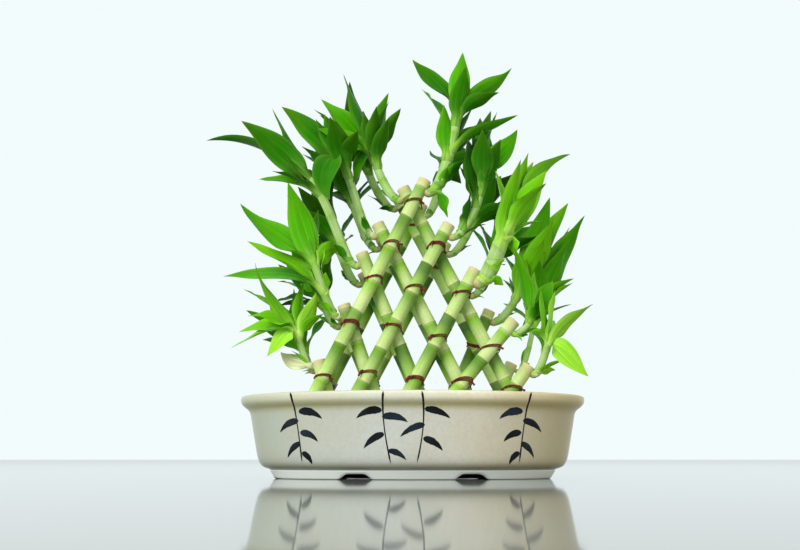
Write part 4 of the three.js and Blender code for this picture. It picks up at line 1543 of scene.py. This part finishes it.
def bract_blades(growth, order, draw, look):
    """Choices for a small leaf at a shoot's foot: first the husk along its underside, then shorter ones."""
    ranges, besides = BRACT_SHAPES[min(order, 1)]
    share, start, tilt, length = (lerp(*ends, draw()) for ends in ranges)
    aside = two_sides(growth.curve.along(share), -growth.line.direction)[0]
    size = (length, BRACT_SLIMNESS * length + besides)
    seed = BRACT_LEAF_SEED + 17 * growth.order + order
    turns, tilt = (start, BRACT_TURN), math.radians(tilt)
    return turned_blades(growth, share, aside, turns, tilt, size, seed, order, look)


def stem_rows(growth, draw, look):
    """Rows of (height, radius, mark) up a stem: a knotted collar, then rings left by old sheaths."""
    length, thick, knot = growth.curve.length, growth.row.radius, growth.radius_at(0)
    rows = [(height, knot * size, mark) for height, size, mark in COLLAR_SHAPE]
    mark = 1
    place = 4
    gap = look.scar_gap / MM * (CROWDED_SCARS if thick > look.scarred_radius / MM else 1)
    while place < length - 3:
        step = gap * dealt(draw, *SCAR_GAP)
        for share, rise in SCAR_SHAPE:
            height = place + step * share
            if height < length - 1.2:
                radius = growth.radius_at(height / length) + SCAR_SWELL * thick * rise
                rows.append((height, radius, mark + share))
        place += step
        mark += 1
    return rows + [
        (length - 0.8, growth.radius_at(0.99), mark - 0.1), (length + 0.6, thick * 0.2, mark - 0.05),
        (length + 0.9, 0, mark - 0.01)]


def add_stem(shape, growth, look):
    rows = stem_rows(growth, seeded_draw(STEM_SEED + growth.order), look)
    curve = growth.curve
    length = curve.length
    points = []
    for height, radius, _ in rows:
        if height <= 0:
            points.append(growth.root - growth.outward * (STEM_SUNK if radius == 0 else STEM_SUNK * 0.98))
        elif height > length:
            points.append(curve.at(1) + curve.along(1) * (height - length))
        else:
            points.append(curve.at(height / length))
    last = len(rows) - 1

    def mark_at(v):
        return rows[round(v * last)][2] + MARKS_FOR_EACH_STEM * growth.order

    def material(face):
        return 1 if grid_row(shape, face, last) < COLLAR_ROWS else 0

    def slant(row, angle):
        """Scars lean to one side and the other by turns, like the sheaths that left them."""
        height, radius, mark = rows[row]
        ring = round(mark)
        if ring < 2 or height > length - 3:
            return 0
        near = 1 - smooth_step(0, 0.35, abs(mark - ring))
        return SCAR_SLANT * radius * near * math.cos(angle + math.pi * ring + 0.6 * growth.order)

    radii = [radius for _, radius, _ in rows]
    add_tube(shape, points, radii, STEM_SIDES, material, AWAY, mark_at, slant)


def add_blade(shape, blade, tone, large):
    shaped_grid(shape, *(LARGE_GRID if large else SMALL_GRID), blade.place, tone)


def tone_of(growth, draw):
    """A leaf's tone, dealt round the shoot's own."""
    return min(max(round(growth.row.tone + TONE_SPREAD * (draw() - 0.5)), 0), len(LEAF_TONES) - 1)


def standing_crowd(growths, cane_look, dish_look):
    """The canes, dish and stems that leaves keep clear of, as plain solids."""
    crowd = Crowd()

    def stand(owner, add, *how):
        shape = new_shape()
        add(shape, *how)
        crowd.add(shape, owner, False)
        shape.free()

    radius = cane_look.radius / MM
    for line in cane_lines():
        stand("cane", add_closed_tube, [line.foot, line.top], [radius, radius], 10)
    length, rim = dish_look.rim_length / 2 / MM, dish_look.rim_height / MM
    stand("dish", oval_solid, ((0, 20), (length, 20), (length, rim), (0, rim)), 48, dish_look)
    for growth in growths:
        shares = [step / 12 for step in range(13)]
        points = [growth.curve.at(share) for share in shares]
        stand(growth.name, add_closed_tube, points, [growth.radius_at(share) for share in shares], 8)
    return crowd


def add_closed_tube(shape, points, radii, sides):
    add_tube(shape, points[:1] + points + points[-1:], [0] + radii + [0], sides, hint=AWAY)


def grow_shoots(leaf_look, cane_look, dish_look):
    """Every shoot with its blades as (blade, tone, large), in the source's order.

    The leaves that the table names come first on all shoots, then the rule's, then the small ones."""
    growths = [Growth(line, order, cane_look) for order, line in enumerate(cane_lines())]
    crowd = standing_crowd(growths, cane_look, dish_look)
    for growth in growths:
        tones = seeded_draw(NAMED_TONE_SEED + growth.order)
        for order, leaf in enumerate(growth.row.leaves):
            blade = grow_leaf(growth, crowd, named_blades(growth, leaf, order, leaf_look), NAMED_TRIES)
            tone = tone_of(growth, tones)
            if blade:
                growth.blades.append((blade, DRY_TONE if leaf.dry else tone, True))
    for growth in growths:
        draw = seeded_draw(RULE_SEED + growth.order)
        tones = seeded_draw(RULE_TONE_SEED + growth.order)
        extra, first_order = growth.row.extra, len(growth.row.leaves)
        for count in (extra, MORE_LEAVES[growth.line.screen] if extra else 0):
            for order in range(count):
                choices = free_blades(growth, count, order, draw, leaf_look, first_order)
                blade = grow_leaf(growth, crowd, choices)
                tone = tone_of(growth, tones)
                if blade:
                    growth.blades.append((blade, tone, True))
            first_order += count
    for growth in growths:
        draw = seeded_draw(BRACT_SEED + growth.order)
        for order in range(BRACTS):
            blade = grow_leaf(growth, crowd, bract_blades(growth, order, draw, leaf_look))
            if blade:
                dried = order > 0 and draw() < DRIED_BRACTS
                growth.blades.append((blade, DRY_TONE if dried else tone_of(growth, draw), False))
    return growths


# Settings that a user would change


def length_value(name, description, default):
    return FloatProperty(name=name, description=description, default=default, unit="LENGTH", precision=5)


def colour_value(name, description, default):
    return FloatVectorProperty(
        name=name, description=description, default=default, size=3, min=0, max=1, subtype="COLOR")


class DishSettings(bpy.types.PropertyGroup):
    rim_length: length_value("Rim Length", "Length over the lip", dish_high.x - dish_low.x)
    rim_width: length_value("Rim Width", "Width over the lip", dish_high.y - dish_low.y)
    rim_height: length_value("Rim Height", "Height of the lip above the table", dish_high.z - dish_low.z)
    wall_thickness: length_value("Wall", "Thickness of the wall", 6 * MM)
    foot_height: length_value("Foot Height", "Height of the white foot", 6.5 * MM)
    floor_height: length_value("Floor Height", "Height of the inside floor", 12 * MM)
    notch_place: length_value("Notch Place", "Distance of each notch from the middle", 39 * MM)
    notch_height: length_value("Notch Height", "Height of the notches in the foot", 3.8 * MM)
    glaze: colour_value("Glaze", "Pale cream of the middle", (0.67, 0.69, 0.645))
    # Glaze colours across the dish hold painted light: cool painted shade at the left end, a painted sheen
    # right of the middle, and tan painted shade and reflection at the right end, whose tan also makes the
    # glaze's blotches
    glaze_cool_shade: colour_value("Cool Glaze", "Greenish grey of the left end", (0.35, 0.41, 0.31))
    glaze_painted_sheen: colour_value("Sunny Glaze", "Warmer cream right of the middle", (0.76, 0.725, 0.61))
    glaze_tan_and_shade: colour_value("Warm Glaze", "Tan of the right end", (0.50, 0.40, 0.19))
    foot: colour_value("Foot", "White of the foot", (0.80, 0.83, 0.78))
    # The clay is darkened as painted shade, for the dark seen through the notches
    clay: colour_value("Clay", "Bare clay under the dish", (0.10, 0.075, 0.045))
    brush: colour_value("Brush", "Black of the brush strokes", (0.004, 0.004, 0.005))
    brush_wet: colour_value("Wet Brush", "Slate of the thin strokes", (0.016, 0.026, 0.040))


class PebbleSettings(bpy.types.PropertyGroup):
    spacing: length_value("Spacing", "Distance between the middles of large pebbles", 12.6 * MM)
    rise: length_value("Rise", "How far pebbles stand above the hollows", 4 * MM)
    shift: length_value("Shift", "How far a pebble strays from its row", 2.4 * MM)
    bed_height: length_value("Bed Height", "Top of the pebbles above the table", 50 * MM)
    crown: length_value("Crown", "How much lower the bed is at its edge", 2 * MM)
    seed: IntProperty(name="Seed", description="Order of the pebbles", default=77)


class CaneSettings(bpy.types.PropertyGroup):
    radius: length_value("Cane Radius", "Radius between rings", 4.75 * MM)
    ring_swell: length_value("Ring Swell", "How far a ring stands out", 0.25 * MM)
    ring_width: length_value("Ring Width", "Height of a ring", 1.2 * MM)
    internode: length_value("Internode", "Typical distance between rings", 25 * MM)
    cream: colour_value("Cream", "Pale stretch above a ring", (0.56, 0.69, 0.27))
    fresh: colour_value("Fresh", "Green of the middle", (0.20, 0.46, 0.015))
    deep: colour_value("Deep", "Deepest green below a ring", (0.008, 0.105, 0.0005))
    dried: colour_value("Dried", "Tan of the skin just under the cut", (0.58, 0.50, 0.25))
    bloom: colour_value("Bloom", "Whitish patches", (0.70, 0.78, 0.42))
    scar: colour_value("Scar", "Line at a ring", (0.30, 0.22, 0.08))


class WireSettings(bpy.types.PropertyGroup):
    wire_radius: length_value("Wire Radius", "Radius of the wire with its coat", 0.38 * MM)
    turns: IntProperty(name="Turns", description="Turns round the canes", default=3, min=1, max=6)
    arch: length_value("Arch", "How much higher a tie is at its outside", 2.3 * MM)
    coat: colour_value("Coat", "Maroon of the coat", (0.24, 0.020, 0.014))
    wire_dark_patch: colour_value("Worn", "Dark patches", (0.014, 0.005, 0.005))


class LeafSettings(bpy.types.PropertyGroup):
    slimness: FloatProperty(name="Slimness", description="Width for each unit of length", default=0.23)
    extra_width: length_value("Extra Width", "Width that every leaf has besides", 7.2 * MM)
    thickness: length_value("Thickness", "Thickness near the foot of a leaf", 0.55 * MM)
    droop: FloatProperty(name="Droop", description="How far the tips hang", default=1.0, min=0, max=3)
    twist: FloatProperty(name="Twist", description="Most that a leaf twists, in degrees", default=50)
    scar_gap: length_value("Scar Gap", "Typical distance between the scars of old sheaths", 24 * MM)
    scarred_radius: length_value("Scarred Radius", "Stems thicker than this have crowded scars", 5 * MM)
    collar: colour_value("Collar", "Knot at the foot of a shoot", (0.55, 0.46, 0.20))
    stem_milk: colour_value("Stem Milk", "Whitish bloom on a stem", (0.38, 0.56, 0.19))
    stem_green: colour_value("Stem Green", "Green of a stem", (0.20, 0.43, 0.035))
    stem_scar: colour_value("Stem Scar", "Brown line of an old sheath", (0.26, 0.20, 0.07))
    yellowing: colour_value("Yellowing", "Yellow patches near the tips of leaves", (0.30, 0.50, 0.01))


class StageSettings(bpy.types.PropertyGroup):
    lens: FloatProperty(name="Lens", description="Focal length in mm on a 36 mm sensor", default=45.0)
    eye_distance: length_value("Eye Distance", "From the middle of the dish", 735 * MM)
    eye_side: length_value("Eye Side", "To the right of the middle of the dish", -9.1 * MM)
    eye_height: length_value("Eye Height", "Above the table", 14 * MM)
    pitch: FloatProperty(name="Pitch", description="Upward tilt in degrees", default=10.4)
    backdrop: colour_value("Backdrop", "Pale light of the room", (0.89, 0.97, 0.98))
    room_light: FloatProperty(name="Room Light", description="Light from all round", default=0.9, min=0)


# Operators


# Half the floor's side in metres, and the lamps as name, place, side, power and tint, aimed at one spot
FLOOR_REACH = 12
LAMPS = (
    ("key", (-0.85, -1.25, 0.7), 0.8, 24, (1, 1, 0.98)),
    ("fill", (1.2, -0.9, 0.4), 1.2, 5, (1, 0.86, 0.68)),
    ("window", (0.1, 1.4, 1.2), 1.8, 30, (0.96, 1, 1)),
)
LAMP_AIM = Vector((0, 0, 0.14))


class BAMBOO_OT_stage(bpy.types.Operator):
    """Set the pale floor, the soft lights and the camera"""

    bl_idname = "bamboo.stage"
    bl_label = "Stage"

    def execute(self, context):
        look = context.scene.bamboo_stage
        shape = new_shape()
        bmesh.ops.create_grid(shape, x_segments=1, y_segments=1, size=FLOOR_REACH)
        mesh = bpy.data.meshes.new("floor")
        shape.to_mesh(mesh)
        shape.free()
        material, _, _ = new_material("floor", Roughness=0.05, Base_Color=(0.25, 0.265, 0.25, 1))
        mesh.materials.append(material)
        floor = bpy.data.objects.new("floor", mesh)
        context.scene.collection.objects.link(floor)
        self.add_camera(context, look)
        for lamp in LAMPS:
            self.add_light(context, *lamp)
        self.add_room(context, look)
        context.scene.view_settings.view_transform = "Standard"
        return {"FINISHED"}

    def add_room(self, context, look):
        """A pale room that the camera sees brighter than it shines."""
        world = bpy.data.worlds.new("room")
        context.scene.world = world
        world.use_nodes = True
        tree = world.node_tree
        seen = put(tree, "ShaderNodeLightPath").outputs["Is Camera Ray"]
        background = tree.nodes["Background"].inputs
        background["Color"].default_value = colour(look.backdrop)
        tree.links.new(remapped(tree, seen, 0, 1, look.room_light, 1), background["Strength"])

    def add_camera(self, context, look):
        camera = bpy.data.objects.new("camera", bpy.data.cameras.new("camera"))
        camera.data.lens = look.lens
        camera.data.sensor_width = 36
        camera.data.clip_start = 0.01
        camera.location = dish_middle + Vector((look.eye_side, -look.eye_distance, look.eye_height))
        camera.rotation_euler = (math.radians(90 + look.pitch), 0, 0)
        context.scene.collection.objects.link(camera)
        context.scene.camera = camera

    def add_light(self, context, name, place, size, power, tint):
        lamp = bpy.data.lights.new(name, "AREA")
        lamp.size = size
        lamp.energy = power
        lamp.color = tint
        light = bpy.data.objects.new(name, lamp)
        light.location = place
        light.rotation_euler = (LAMP_AIM - light.location).to_track_quat("-Z", "Y").to_euler()
        light.visible_glossy = False
        context.scene.collection.objects.link(light)


class BAMBOO_OT_dish(bpy.types.Operator):
    """Make the oval glazed dish with its rolled lip and notched foot"""

    bl_idname = "bamboo.dish"
    bl_label = "Dish"

    def execute(self, context):
        look = context.scene.bamboo_dish
        material = glaze_material(look)
        finish_piece(build_dish(look), "glazed_dish", [material], ["dish"], math.radians(50))
        return {"FINISHED"}


class BAMBOO_OT_brushwork(bpy.types.Operator):
    """Paint sprigs of bamboo on the front and back of the dish"""

    bl_idname = "bamboo.brushwork"
    bl_label = "Brushwork"

    def execute(self, context):
        look = context.scene.bamboo_dish
        material = brush_material(look)
        finish_piece(build_brushwork(look), "brushwork", [material], sharp=math.radians(60))
        return {"FINISHED"}


class BAMBOO_OT_pebbles(bpy.types.Operator):
    """Fill the dish with pebbles round the canes"""

    bl_idname = "bamboo.pebbles"
    bl_label = "Pebbles"

    def execute(self, context):
        scene = context.scene
        shape = build_pebbles(scene.bamboo_pebbles, scene.bamboo_dish, scene.bamboo_canes)
        materials = [pebble_material(*row) for row in (*PEBBLE_COLOURS, PEBBLE_SHADE)]
        finish_piece(shape, "pebbles", materials, ["pebble_bed"])
        return {"FINISHED"}


class BAMBOO_OT_canes(bpy.types.Operator):
    """Make the canes of both lattices"""

    bl_idname = "bamboo.canes"
    bl_label = "Canes"

    def execute(self, context):
        look = context.scene.bamboo_canes
        materials = [cane_material(look), cut_material()]
        for order, line in enumerate(cane_lines()):
            node = f"{line.label}_cane_{line.number + 1}"
            name = f"cane_{line.label}_{line.number + 1}"
            finish_piece(build_cane(line, order, look), name, materials, [node], math.radians(55))
        return {"FINISHED"}


class BAMBOO_OT_ties(bpy.types.Operator):
    """Wind and twist the wire ties at every crossing"""

    bl_idname = "bamboo.ties"
    bl_label = "Wire Ties"

    def execute(self, context):
        scene = context.scene
        material = wire_material(scene.bamboo_wire)
        for screen in ("front", "rear"):
            shape, names = build_ties(screen, scene.bamboo_wire, scene.bamboo_canes, scene.bamboo_dish)
            finish_piece(shape, f"ties_{screen}", [material], names if screen == "front" else ())
        return {"FINISHED"}


class BAMBOO_OT_shoots(bpy.types.Operator):
    """Grow the stems, leaves and bracts of every shoot"""

    bl_idname = "bamboo.shoots"
    bl_label = "Shoots"

    def execute(self, context):
        scene = context.scene
        look = scene.bamboo_leaves
        growths = grow_shoots(look, scene.bamboo_canes, scene.bamboo_dish)
        stem_materials = [stem_material(look), collar_material(look)]
        leaf_materials = [leaf_material(*row, look) for row in (*LEAF_TONES, DRY_LEAF)]
        for screen, kind in SHOOTS:
            group = [growth for growth in growths if growth.line.label == f"{screen}_{kind}"]
            stems, leaves = new_shape(), new_shape()
            for growth in group:
                add_stem(stems, growth, look)
                for blade in growth.blades:
                    add_blade(leaves, *blade)
            nodes = [growth.name for growth in group]
            finish_piece(stems, f"stems_{screen}_{kind}", stem_materials, nodes, math.radians(70))
            finish_piece(leaves, f"leaves_{screen}_{kind}", leaf_materials, nodes, math.radians(50))
        return {"FINISHED"}


STEPS = (
    BAMBOO_OT_stage, BAMBOO_OT_dish, BAMBOO_OT_brushwork, BAMBOO_OT_pebbles, BAMBOO_OT_canes, BAMBOO_OT_ties,
    BAMBOO_OT_shoots,
)
GROUPS = {
    "bamboo_stage": StageSettings,
    "bamboo_dish": DishSettings,
    "bamboo_pebbles": PebbleSettings,
    "bamboo_canes": CaneSettings,
    "bamboo_wire": WireSettings,
    "bamboo_leaves": LeafSettings,
}


class BAMBOO_PT_sidebar(bpy.types.Panel):
    """Lists the steps that make the plant, with their settings"""

    bl_label = "Lucky Bamboo"
    bl_space_type = "VIEW_3D"
    bl_region_type = "UI"
    bl_category = "Lucky Bamboo"

    def draw(self, context):
        for step in STEPS:
            self.layout.operator(step.bl_idname)
        for name in GROUPS:
            box = self.layout.box()
            settings = getattr(context.scene, name)
            for label in settings.bl_rna.properties.keys()[2:]:
                box.prop(settings, label)


def register():
    for group in GROUPS.values():
        bpy.utils.register_class(group)
    for name, group in GROUPS.items():
        setattr(bpy.types.Scene, name, PointerProperty(type=group))
    for step in STEPS:
        bpy.utils.register_class(step)
    bpy.utils.register_class(BAMBOO_PT_sidebar)


def unregister():
    bpy.utils.unregister_class(BAMBOO_PT_sidebar)
    for step in reversed(STEPS):
        bpy.utils.unregister_class(step)
    for name in GROUPS:
        delattr(bpy.types.Scene, name)
    for group in reversed(GROUPS.values()):
        bpy.utils.unregister_class(group)


def main():
    register()
    for step in STEPS:
        getattr(bpy.ops.bamboo, step.bl_idname.split(".")[1])()


if __name__ == "__main__":
    main()
